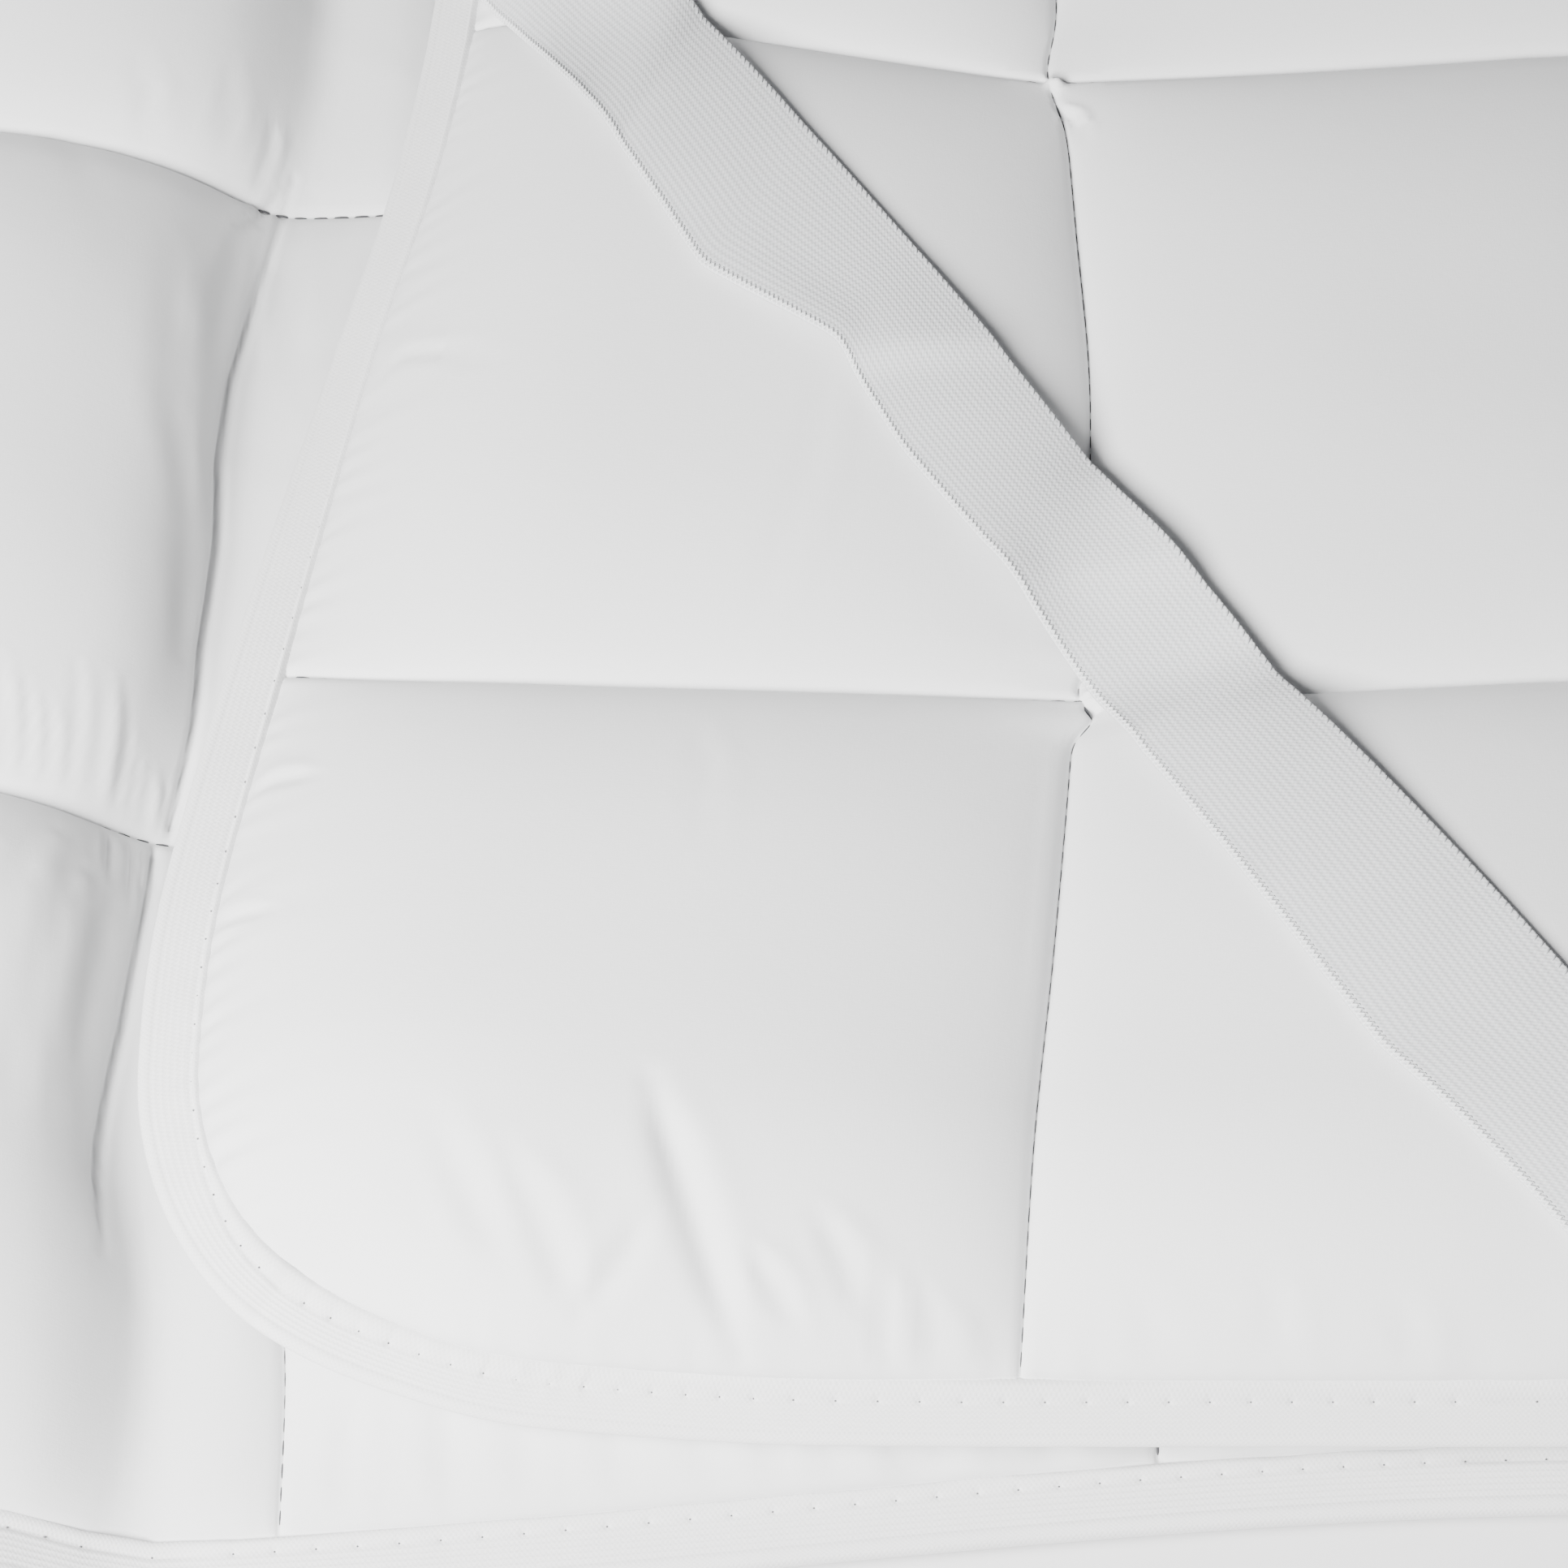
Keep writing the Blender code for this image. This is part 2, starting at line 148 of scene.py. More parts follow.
def section(s):
    """Point (x, z) of the mid-surface after s metres of cloth, along the length."""
    s = np.asarray(s, float)
    x, z = np.zeros_like(s), np.zeros_like(s)
    x0, z0, heading, start = 0.0, Z_UPPER, 0.0, 0.0
    for k, (_name, run, turn) in enumerate(FOLDS):
        end = start + run
        here = (s >= start) & ((s < end) | (k == len(FOLDS) - 1))
        if k == 0:
            here |= s < 0
        step = s - start
        if turn == 0.0:
            xx, zz = x0 + step * np.cos(heading), z0 + step * np.sin(heading)
            nx, nz, nh = x0 + run * np.cos(heading), z0 + run * np.sin(heading), heading
        else:
            radius = run / np.radians(turn)
            after = heading + step / radius
            xx = x0 + radius * (np.sin(after) - np.sin(heading))
            zz = z0 - radius * (np.cos(after) - np.cos(heading))
            nh = heading + run / radius
            nx = x0 + radius * (np.sin(nh) - np.sin(heading))
            nz = z0 - radius * (np.cos(nh) - np.cos(heading))
        x, z = np.where(here, xx, x), np.where(here, zz, z)
        x0, z0, heading, start = nx, nz, nh, end
    return x, z


def round_corner(s, t):
    """Moves the square corners of the pattern onto the rounded outline."""
    flip_s, flip_t = s > LENGTH / 2, t > WIDTH / 2
    a = np.where(flip_s, LENGTH - s, s)
    b = np.where(flip_t, WIDTH - t, t)
    inside = (a < CORNER_ZONE) & (b < CORNER_ZONE)
    swap = a > b
    lo, hi = np.where(swap, b, a), np.where(swap, a, b)
    radius = np.maximum(CORNER_R - lo, 0.0)
    straight = CORNER_ZONE - lo - radius
    half = straight + np.pi * radius / 4.0
    along = (CORNER_ZONE - hi) / np.maximum(CORNER_ZONE - lo, 1e-9) * half
    on_line = (along <= straight) | (radius == 0.0)
    angle = np.clip((along - straight) / np.maximum(radius, 1e-9), 0.0, np.pi / 4)
    lo2 = np.where(on_line, lo, lo + radius * (1.0 - np.cos(angle)))
    hi2 = np.where(on_line, CORNER_ZONE - along, lo + radius * (1.0 - np.sin(angle)))
    a2 = np.where(inside, np.where(swap, hi2, lo2), a)
    b2 = np.where(inside, np.where(swap, lo2, hi2), b)
    return np.where(flip_s, LENGTH - a2, a2), np.where(flip_t, WIDTH - b2, b2)


def sink(s, t):
    """How far the mid-surface sinks towards an edge, and how far that draws it in."""
    ds, dt = np.minimum(s, LENGTH - s), np.minimum(t, WIDTH - t)
    upper = s < FOLD_MID
    fade_up = 1.0 - smooth(0.40, FOLD_START - 0.01, s)
    fade_low = smooth(FOLD_END + 0.01, FOLD_END + 0.15, s)
    a_side = np.where(upper, DROOP_SIDE * fade_up, DROOP_LOWER * fade_low)
    a_end = np.where(upper, DROOP_END, DROOP_LOWER)
    # the outline turns the corner: how far round, and which way is inward
    lo, hi = np.minimum(ds, dt), np.maximum(ds, dt)
    lo = np.minimum(lo, CORNER_ZONE - 1e-6)
    u = np.clip((hi - lo) / (CORNER_ZONE - lo), 0.0, 1.0)
    radius = np.maximum(CORNER_R - lo, 1e-6)
    straight = CORNER_ZONE - CORNER_R
    half = straight + np.pi * radius / 4.0
    angle = np.clip(((1.0 - u) * half - straight) / radius, 0.0, np.pi / 4)
    on_side = dt <= ds
    own = np.where(on_side, a_side, a_end)
    both = (a_side + a_end) / 2
    amount = both + (own - both) * u * u * (3.0 - 2.0 * u)
    q = 1.0 - np.clip(lo / DROOP_REACH, 0.0, 1.0)
    depth = amount * q ** 2
    pull = 2.0 / (3.0 * DROOP_REACH) * amount ** 2 * q ** 3
    in_x = pull * np.where(on_side, np.sin(angle), np.cos(angle))
    in_y = pull * np.where(on_side, np.cos(angle), np.sin(angle))
    in_x = in_x * np.where(s < LENGTH / 2, 1.0, -1.0)
    in_x = np.where(upper, in_x, -in_x)
    in_y = in_y * np.where(t < WIDTH / 2, 1.0, -1.0)
    # the tape hangs steeper along part of the upper layer's short edge
    e = np.where(s < LENGTH / 2, np.maximum(0.0175 - s, 0.0), 0.0)
    e = e * e / (e + 0.0030)
    base, turn = 0.30, np.radians(through(TAPE_TURN, 1, dt))
    in_x = in_x + e * (np.cos(base) - np.cos(base + turn))
    depth = depth + e * (np.sin(base + turn) - np.sin(base))
    return depth, in_x, in_y


def drift(rs, rt):
    """Sideways movement (dx, dy) of the cloth from its regular place."""
    near = np.minimum(rt, WIDTH - rt)
    sign = np.where(rt < WIDTH / 2, 1.0, -1.0)
    e_in, e_al = through(GATHER, 1, near), through(GATHER, 2, near) * sign
    f_in, f_al = through(GATHER, 3, near), through(GATHER, 4, near) * sign
    q = smooth(0.0, PITCH_S, rs) * 0.5 + np.clip(rs / PITCH_S, 0, 1) * 0.5
    fade = 1.0 - smooth(PITCH_S, GATHER_REACH, rs)
    dx = (e_in + (f_in - e_in) * q) * fade
    dy = (e_al + (f_al - e_al) * q) * fade
    low = GATHER_LOWER * (1.0 - smooth(0.0, 0.6 * GATHER_REACH, LENGTH - rs))
    dx = dx + e_in * low
    dy = dy + e_al * low
    # a hook in the first seam where it meets the cross seams
    hook = np.exp(-((rs - PITCH_S) / 0.030) ** 2)
    dx = dx + hook * (0.0040 * np.exp(-((near - 0.1748) / 0.0048) ** 2)
                      + 0.0026 * np.exp(-((near - 0.1900) / 0.0050) ** 2)
                      - 0.0035 * np.exp(-((near - 0.362) / 0.012) ** 2))
    # the first cross seam turns back a little where it runs into the tape
    dy = dy + 0.0095 * np.exp(-(np.maximum(rs, 0.0) / 0.030) ** 1.5) * np.exp(-((near - 0.180) / 0.045) ** 2)
    dy = dy + through(CORNER_BACK, 1, rs) * (1.0 - smooth(0.0, 0.11, rt)) * np.where(rs < 0.17, 1.0, 0.0)
    lower = rs > FOLD_END
    dy = dy + np.where(lower, LOWER_SHIFT * smooth(FOLD_END + 0.397, FOLD_END + 0.757, rs), 0.0)
    w = smooth(VALLEY_AT - 0.16, VALLEY_AT - 0.02, rs) * (1.0 - smooth(VALLEY_AT + 0.10, VALLEY_AT + 0.30, rs))
    dx = dx + np.where(lower, through(VALLEY_LINE, 1, rt) * w, 0.0)
    return dx, dy


def middle(s, t):
    rs, rt = round_corner(s, t)
    x, z = section(rs)
    dx, dy = drift(rs, rt)
    depth, in_x, in_y = sink(s, t)
    return np.stack([x + dx + in_x, rt + dy + in_y, z - depth], -1)


def unit(v):
    return v / np.maximum(np.linalg.norm(v, axis=-1, keepdims=True), 1e-12)


def normal(s, t):
    nudge, eps = 0.0015, 0.001
    s = np.clip(s, nudge, LENGTH - nudge)
    t = np.clip(t, nudge, WIDTH - nudge)
    ds = middle(s + eps, t) - middle(s - eps, t)
    dt = middle(s, t + eps) - middle(s, t - eps)
    return unit(np.cross(ds, dt))


def crown_profile(u, rise=0.55):
    """Cross-section of a stuffed box between two seams, 0 to 1 to 0."""
    return np.clip(1.0 - np.abs(2.0 * u - 1.0) ** 2.6, 0.0, 1.0) ** rise


def box_place(v, pitch, whole):
    count = int(round(whole / pitch))
    k = np.clip(np.floor(v / pitch + 1e-9), 0, count - 1)
    low = np.where(k == 0, TAPE, k * pitch)
    high = np.where(k == count - 1, whole - TAPE, (k + 1) * pitch)
    return np.clip((v - low) / (high - low), 0.0, 1.0), k.astype(int)


rng = np.random.default_rng(20)
BOX_FILL = 1.0 + rng.uniform(-0.07, 0.05, (BOXES_LONG, BOXES_WIDE, 2))
BOX_FILL[0:2, 0:2, 0] = (1.0, 0.99), (1.0, 0.985)


def half_thickness(s, t, side):
    us, ks = box_place(s, PITCH_S, LENGTH)
    ut, kt = box_place(t, PITCH_T, WIDTH)
    fill = crown_profile(us, 0.64) * crown_profile(ut)
    share = BOX_FILL[ks, kt, np.where(side > 0, 0, 1)]
    h = SEAM_HALF + (CROWN * share - SEAM_HALF) * fill
    # the cloth of two boxes meets steeply over the stitches: a narrow slit
    gap = np.minimum(us * PITCH_S, (1.0 - us) * PITCH_S)
    gap = np.minimum(gap, np.minimum(ut * PITCH_T, (1.0 - ut) * PITCH_T))
    h = h + LIP * (1.0 - np.exp(-(gap / 0.00055) ** 2)) * (1.0 - 0.7 * fill)
    edge = np.minimum(np.minimum(s, LENGTH - s), np.minimum(t, WIDTH - t)) <= TAPE + 1e-6
    return np.where(edge, EDGE_HALF, h)


def squeeze(s):
    at_fold = 1.0 - smooth(0.0, 0.045, np.abs(s - FOLD_MID))
    at_valley = 1.0 - smooth(0.0, 0.035, np.abs(s - VALLEY_AT))
    return 1.0 - 0.22 * at_fold - 0.35 * at_valley


# ============================================================ creases and gathers
def stroke(s, t, points, width, height, shoulder=0.35, taper=(0.25, 0.35)):
    """A soft trough (height < 0) or ridge along a given line, with a shoulder."""
    out = np.zeros_like(s)
    pts = np.array(points, float)
    lo, hi = pts.min(0) - 4.5 * width, pts.max(0) + 4.5 * width
    near = (s > lo[0]) & (s < hi[0]) & (t > lo[1]) & (t < hi[1])
    if not near.any():
        return out
    a, b = s[near], t[near]
    seg = pts[1:] - pts[:-1]
    run = np.concatenate([[0.0], np.cumsum(np.hypot(seg[:, 0], seg[:, 1]))])
    best = np.full(a.shape, 1e9)
    at = np.zeros_like(a)
    sided = np.zeros_like(a)
    for k in range(len(seg)):
        L2 = seg[k] @ seg[k]
        q = np.clip(((a - pts[k, 0]) * seg[k, 0] + (b - pts[k, 1]) * seg[k, 1]) / L2, 0.0, 1.0)
        da, db = a - pts[k, 0] - q * seg[k, 0], b - pts[k, 1] - q * seg[k, 1]
        d = np.hypot(da, db)
        hit = d < best
        best = np.where(hit, d, best)
        at = np.where(hit, (run[k] + q * math.sqrt(L2)) / run[-1], at)
        sided = np.where(hit, np.sign(seg[k, 0] * db - seg[k, 1] * da), sided)
    w = width * (0.75 + 0.5 * np.sin(np.pi * np.clip(at, 0, 1)))
    x = best / w
    shape = np.exp(-x * x) - shoulder * np.exp(-((x - 1.9) / 0.9) ** 2) * (1.0 + 0.5 * sided)
    ends = np.minimum(smooth(0.0, taper[0], at) * 0.75 + 0.25, smooth(0.0, taper[1], 1.0 - at) * 0.8 + 0.2)
    out[near] = height * shape * ends
    return out


# underside, upper layer: the creases of the corner box and of the boxes beside it
CREASES_UNDER = (
    # line in the pattern (s, t), width, height (m), shoulder
    (((0.1035, 0.068), (0.1065, 0.060), (0.1115, 0.048), (0.1170, 0.035), (0.1245, 0.018)), 0.0033, -0.0028, 0.06),
    (((0.0960, 0.062), (0.1010, 0.050), (0.1065, 0.037)), 0.0038, 0.0002, 0.0),
    (((0.054, 0.054), (0.060, 0.046), (0.066, 0.040), (0.073, 0.031)), 0.0044, -0.0013, 0.2),
    (((0.073, 0.052), (0.078, 0.042), (0.083, 0.032), (0.0875, 0.024)), 0.0034, -0.0013, 0.2),
    (((0.0875, 0.024), (0.093, 0.028), (0.098, 0.034), (0.104, 0.043)), 0.0026, -0.0011, 0.2),
    (((0.046, 0.046), (0.051, 0.038), (0.057, 0.031)), 0.0040, -0.0005, 0.3),
    (((0.126, 0.037), (0.131, 0.031), (0.137, 0.023)), 0.0020, -0.0008, 0.45),
    (((0.139, 0.044), (0.1445, 0.037), (0.150, 0.025)), 0.0022, -0.0008, 0.40),
    (((0.1525, 0.036), (0.1535, 0.026), (0.1545, 0.014)), 0.0018, -0.0008, 0.45),
    (((0.161, 0.032), (0.163, 0.023), (0.1645, 0.014)), 0.0020, -0.0006, 0.35),
    (((0.170, 0.028), (0.172, 0.015)), 0.0016, 0.0005, 0.2),
    (((0.122, 0.262), (0.1195, 0.231), (0.1145, 0.205), (0.110, 0.185)), 0.0022, -0.00035, 0.5),
    (((0.1045, 0.166), (0.108, 0.150), (0.1085, 0.126)), 0.0018, -0.00035, 0.5),
    (((0.0165, 0.2555), (0.023, 0.2600), (0.034, 0.2580), (0.050, 0.2535)), 0.0014, -0.0005, 0.25),
    (((0.0150, 0.1135), (0.020, 0.1140), (0.028, 0.1135)), 0.0012, -0.0007, 0.4),
    (((0.0140, 0.1490), (0.020, 0.1505), (0.030, 0.1500)), 0.0014, -0.0006, 0.4),
    # second box along the front, where its crown meets the tape
    (((0.205, 0.030), (0.209, 0.022), (0.212, 0.015)), 0.0026, -0.0005, 0.4),
    (((0.232, 0.034), (0.233, 0.024), (0.2335, 0.015)), 0.0024, -0.0005, 0.4),
    (((0.258, 0.028), (0.262, 0.021), (0.265, 0.015)), 0.0024, -0.0005, 0.4),
    # the tuft and the pit where the first seams cross
    (((0.1822, 0.1806), (0.1845, 0.1802), (0.1868, 0.1796)), 0.0012, 0.0024, 0.0),
    (((0.1806, 0.1772), (0.1825, 0.1768), (0.1845, 0.1770)), 0.0009, -0.0020, 0.1),
    (((0.1790, 0.1700), (0.1788, 0.1500), (0.1790, 0.1200), (0.1795, 0.0800)), 0.0009, 0.0005, 0.0),
    # the second crossing, behind
    (((0.1812, 0.3605), (0.1850, 0.3575)), 0.0014, 0.0024, 0.0),
    (((0.1812, 0.3520), (0.1840, 0.3480), (0.1850, 0.3400)), 0.0012, -0.0012, 0.3),
)

# top side, lower layer: pleats beside the valley and where seams cross it
CREASES_TOP = (
    (((1.500, 0.070), (1.498, 0.086), (1.494, 0.108), (1.4905, 0.130), (1.4895, 0.151), (1.4885, 0.168), (1.4890, 0.1785)), 0.0015, -0.0030, 0.0, (0.3, 0.02)),
    (((1.4862, 0.1815), (1.4868, 0.190), (1.488, 0.200), (1.4915, 0.230), (1.491, 0.259), (1.494, 0.281), (1.493, 0.305), (1.486, 0.341), (1.4875, 0.369)), 0.0015, -0.0030, 0.0, (0.02, 0.3)),
    (((1.5010, 0.070), (1.4985, 0.086), (1.4945, 0.108), (1.4915, 0.130), (1.4905, 0.151), (1.4895, 0.165)), 0.0095, -0.0018, 0.0),
    (((1.4890, 0.200), (1.4925, 0.230), (1.492, 0.259), (1.495, 0.281), (1.494, 0.305), (1.487, 0.341)), 0.0095, -0.0024, 0.0),
    (((1.5290, 0.1825), (1.5315, 0.192), (1.536, 0.206)), 0.0011, -0.0004, 0.5),
    (((1.5245, 0.1825), (1.5265, 0.191), (1.531, 0.204)), 0.0010, -0.0005, 0.5),
    (((1.5200, 0.1825), (1.5215, 0.190), (1.526, 0.202)), 0.0010, -0.0004, 0.5),
    (((1.5145, 0.1825), (1.5180, 0.196), (1.5235, 0.214)), 0.0011, -0.0004, 0.5),
    (((1.5055, 0.1830), (1.5090, 0.196), (1.5140, 0.212)), 0.0013, 0.0008, 0.15),
    (((1.5020, 0.1825), (1.5045, 0.192), (1.5080, 0.204)), 0.0010, -0.0004, 0.4),
    (((1.4985, 0.1825), (1.5005, 0.190), (1.5030, 0.199)), 0.0010, -0.0004, 0.5),
    (((1.4955, 0.1825), (1.4970, 0.190), (1.4990, 0.197)), 0.0010, -0.0003, 0.5),
    (((1.4910, 0.1815), (1.4925, 0.188), (1.4945, 0.195)), 0.0010, 0.0007, 0.2),
    (((1.5345, 0.1830), (1.5350, 0.194), (1.537, 0.208)), 0.0012, -0.0005, 0.6),
    (((1.5420, 0.1830), (1.5430, 0.196), (1.545, 0.212)), 0.0014, -0.0006, 0.6),
    (((1.5510, 0.1830), (1.5525, 0.194), (1.554, 0.206)), 0.0014, -0.0005, 0.6),
    (((1.5620, 0.1840), (1.5640, 0.198), (1.567, 0.216)), 0.0018, -0.0006, 0.5),
    (((1.5760, 0.1840), (1.5770, 0.195), (1.580, 0.207)), 0.0018, -0.0006, 0.5),
    (((1.5150, 0.168), (1.5185, 0.150), (1.5205, 0.125), (1.5235, 0.098)), 0.0030, 0.0010, 0.5),
    (((1.5080, 0.160), (1.5110, 0.140), (1.5140, 0.116), (1.5150, 0.090)), 0.0026, 0.0010, 0.5),
    (((1.5000, 0.158), (1.5030, 0.135), (1.5050, 0.108)), 0.0026, -0.0007, 0.5),
    (((1.5290, 0.160), (1.5340, 0.135), (1.5390, 0.110)), 0.0034, -0.0007, 0.5),
    (((1.5420, 0.172), (1.5490, 0.150), (1.5560, 0.128)), 0.0034, -0.0006, 0.5),
    (((1.4965, 0.1785), (1.4955, 0.170), (1.4960, 0.160)), 0.0009, -0.0005, 0.3),
    (((1.4915, 0.1785), (1.4925, 0.170), (1.4920, 0.162)), 0.0008, -0.0005, 0.3),
    (((1.5030, 0.1785), (1.5020, 0.172), (1.5025, 0.164)), 0.0009, -0.0006, 0.4),
    (((1.506, 0.262), (1.512, 0.290), (1.515, 0.330)), 0.0036, -0.0007, 0.5),
    (((1.500, 0.225), (1.503, 0.250), (1.508, 0.282)), 0.0030, -0.0006, 0.5),
    (((1.496, 0.350), (1.500, 0.330), (1.505, 0.300)), 0.0026, -0.0007, 0.5),
    (((1.489, 0.366), (1.494, 0.356), (1.500, 0.350)), 0.0014, -0.0008, 0.5),
    (((1.481, 0.352), (1.478, 0.330), (1.472, 0.300)), 0.0026, -0.0005, 0.4),
    (((1.527, 0.362), (1.530, 0.372), (1.534, 0.384)), 0.0016, -0.0006, 0.5),
    (((1.510, 0.362), (1.511, 0.374), (1.514, 0.390)), 0.0016, -0.0007, 0.5),
    (((1.498, 0.362), (1.498, 0.372), (1.500, 0.384)), 0.0014, -0.0006, 0.5),
    # the front strip of the lower layer, seen below the upper one
    (((1.330, 0.034), (1.329, 0.024), (1.327, 0.015)), 0.0022, -0.0005, 0.5),
    (((1.320, 0.040), (1.319, 0.028), (1.318, 0.015)), 0.0022, -0.0006, 0.5),
    (((1.309, 0.034), (1.308, 0.024), (1.308, 0.015)), 0.0020, -0.0005, 0.5),
    (((1.298, 0.038), (1.297, 0.026), (1.296, 0.015)), 0.0022, -0.0006, 0.5),
    (((1.286, 0.034), (1.286, 0.024), (1.285, 0.015)), 0.0020, -0.0005, 0.5),
    (((1.356, 0.036), (1.354, 0.026), (1.353, 0.015)), 0.0022, -0.0006, 0.5),
    (((1.440, 0.040), (1.441, 0.028), (1.442, 0.015)), 0.0024, -0.0006, 0.4),
    (((1.422, 0.040), (1.420, 0.028), (1.419, 0.015)), 0.0026, -0.0006, 0.4),
    (((1.405, 0.034), (1.404, 0.024), (1.403, 0.015)), 0.0024, -0.0005, 0.4),
    (((1.388, 0.036), (1.386, 0.026), (1.385, 0.015)), 0.0024, -0.0006, 0.4),
    (((1.370, 0.034), (1.369, 0.024), (1.367, 0.015)), 0.0024, -0.0005, 0.4),
    (((1.345, 0.036), (1.343, 0.026), (1.341, 0.015)), 0.0024, -0.0005, 0.4),
)

DETAIL_UNDER = ((0.0, 0.275), (0.0, 0.430))
DETAIL_TOP = ((1.185, 1.640), (0.0, 0.440))


def in_window(s, t, window, margin=0.0):
    (s0, s1), (t0, t1) = window
    return (s > s0 - margin) & (s < s1 + margin) & (t > t0 - margin) & (t < t1 + margin)


def make_gathers():
    """Gathers running in from the stitch line, round all four edges and on both faces."""
    rows = []
    gen = np.random.default_rng(7)
    for side in (1, -1):
        for edge in ("s0", "s1", "t0", "t1"):
            length = WIDTH if edge[0] == "s" else LENGTH
            at = 0.030
            while at < length - 0.030:
                fine = False
                if side > 0 and edge == "s0" and at < 0.43:
                    fine = True
                if side > 0 and edge == "t0" and at < 0.275:
                    fine = True
                if side < 0 and edge == "t0" and 1.33 < at < 1.64:
                    fine = True
                left = side > 0 and edge == "s0" and at < 0.43
                if left and at < 0.125:
                    width, high = gen.uniform(0.0015, 0.0024), gen.uniform(0.0004, 0.0010)
                    reach, lean = gen.uniform(0.0050, 0.0120), gen.uniform(0.05, 0.30)
                    step = gen.uniform(0.0055, 0.0085)
                elif left:
                    width, high = gen.uniform(0.0012, 0.0021), gen.uniform(0.00018, 0.00062)
                    reach, lean = gen.uniform(0.0030, 0.0090), gen.uniform(0.02, 0.35)
                    step = gen.uniform(0.0042, 0.0068)
                elif fine:
                    width, high = gen.uniform(0.0016, 0.0026), gen.uniform(0.00010, 0.00035)
                    reach, lean = gen.uniform(0.0030, 0.0090), gen.uniform(-0.2, 0.2)
                    step = gen.uniform(0.0070, 0.0140)
                else:
                    width, high = gen.uniform(0.0045, 0.0075), gen.uniform(0.0004, 0.0012)
                    reach, lean = gen.uniform(0.010, 0.030), gen.uniform(-0.3, 0.3)
                    step = gen.uniform(0.016, 0.032)
                rows.append((side, edge, at, width, high, reach, lean))
                at += step
    return rows


GATHERS = make_gathers()


def gathers(s, t, side):
    out = np.zeros_like(s)
    ends = {
        "s0": (s - TAPE, t), "s1": (LENGTH - TAPE - s, t),
        "t0": (t - TAPE, s), "t1": (WIDTH - TAPE - t, s),
    }
    near = {k: (v[0] > -1e-4) & (v[0] < 0.080) for k, v in ends.items()}
    for one, edge, at, width, high, reach, lean in GATHERS:
        if one != side:
            continue
        mask = near[edge] & (np.abs(ends[edge][1] - at) < 0.060)
        if not mask.any():
            continue
        d, a = ends[edge][0][mask], ends[edge][1][mask]
        x = (a - at - lean * d) / (width * (1.0 + 0.6 * d / (reach + 0.004)))
        rise = np.exp(-d / reach) * (1.0 - np.exp(-(d + 0.0006) / 0.0012))
        out[mask] += -high * rise * (np.exp(-x * x) - 0.45 * np.exp(-((np.abs(x) - 1.7) / 0.8) ** 2))
    return out


def make_seam_pleats():
    """Short creases crossing the quilting seams, away from the boxes shaped one by one."""
    rows = []
    gen = np.random.default_rng(11)
    for side in (1, -1):
        for k in range(1, BOXES_LONG):
            at = 0.03
            while at < WIDTH - 0.03:
                rows.append((side, "s", k * PITCH_S, at, gen.uniform(0.003, 0.006), gen.uniform(-0.0009, 0.0006), gen.uniform(0.008, 0.022), gen.uniform(-0.5, 0.5)))
                at += gen.uniform(0.018, 0.060)
        for k in range(1, BOXES_WIDE):
            at = 0.03
            while at < LENGTH - 0.03:
                rows.append((side, "t", k * PITCH_T, at, gen.uniform(0.003, 0.006), gen.uniform(-0.0009, 0.0006), gen.uniform(0.008, 0.022), gen.uniform(-0.5, 0.5)))
                at += gen.uniform(0.018, 0.060)
    return rows


SEAM_PLEATS = make_seam_pleats()


def seam_pleats(s, t, side):
    out = np.zeros_like(s)
    for one, kind, line, at, width, high, reach, lean in SEAM_PLEATS:
        if one != side:
            continue
        across, along = (s - line, t) if kind == "s" else (t - line, s)
        mask = (np.abs(across) < 0.060) & (np.abs(along - at) < 0.040)
        if not mask.any():
            continue
        d, a = across[mask], along[mask]
        quiet = 1.0
        if side > 0:
            quiet = np.where(in_window(s[mask], t[mask], DETAIL_UNDER, 0.02), 0.12, 1.0)
        x = (a - at - lean * np.abs(d)) / width
        fade = np.exp(-np.abs(d) / reach) * (1.0 - np.exp(-(np.abs(d) + 0.0004) / 0.002))
        out[mask] += high * quiet * fade * np.exp(-x * x)
    return out


WAVES = [(g.uniform(12, 60), g.uniform(12, 60), g.uniform(0, 6.28), g.uniform(0, 6.28)) for g in [np.random.default_rng(k) for k in range(9)]]


def undulation(s, t, side):
    out = np.zeros_like(s)
    for k, (fs, ft, ps, pt) in enumerate(WAVES):
        sign = -1.0 if (k % 2 and side < 0) else 1.0
        out = out + np.sin(s * fs + t * ft * 0.6 * sign + ps) * np.sin(t * ft - s * fs * 0.4 + pt * sign)
    return out / len(WAVES)


def skin(s, t, side):
    """The pad's outer skin at pattern points (s, t), one side."""
    mid, up = middle(s, t), normal(s, t)
    thick = half_thickness(s, t, np.full(s.shape, side))
    inner = np.minimum(np.minimum(s, LENGTH - s), np.minimum(t, WIDTH - t))
    if side < 0:
        thick = np.where(inner > TAPE, np.maximum(EDGE_HALF, thick * squeeze(s)), thick)
    loose = np.clip((thick - SEAM_HALF) / (CROWN - SEAM_HALF), 0.0, 1.0)
    extra = gathers(s, t, side) + seam_pleats(s, t, side)
    extra = extra + 0.0011 * undulation(s, t, side) * loose
    for row in (CREASES_UNDER if side > 0 else CREASES_TOP):
        extra = extra + stroke(s, t, *row)
    extra = extra * smooth(TAPE - 0.0002, TAPE + 0.0010, inner)
    out = mid + up * ((thick + extra) * side)[..., None]
    if side > 0:
        low = s > FOLD_MID
        floor = np.where(s > LENGTH - 2.6 * PITCH_S, 0.0026, 0.0003)
        out[..., 2] = np.where(low, np.maximum(out[..., 2], floor), out[..., 2])
    else:
        clear = np.where(inner <= TAPE + 1e-6, 0.0016, 0.0020)
        up_low = (s < FOLD_MID)
        out[..., 2] = np.where(up_low, out[..., 2], np.maximum(out[..., 2], clear))
    return out


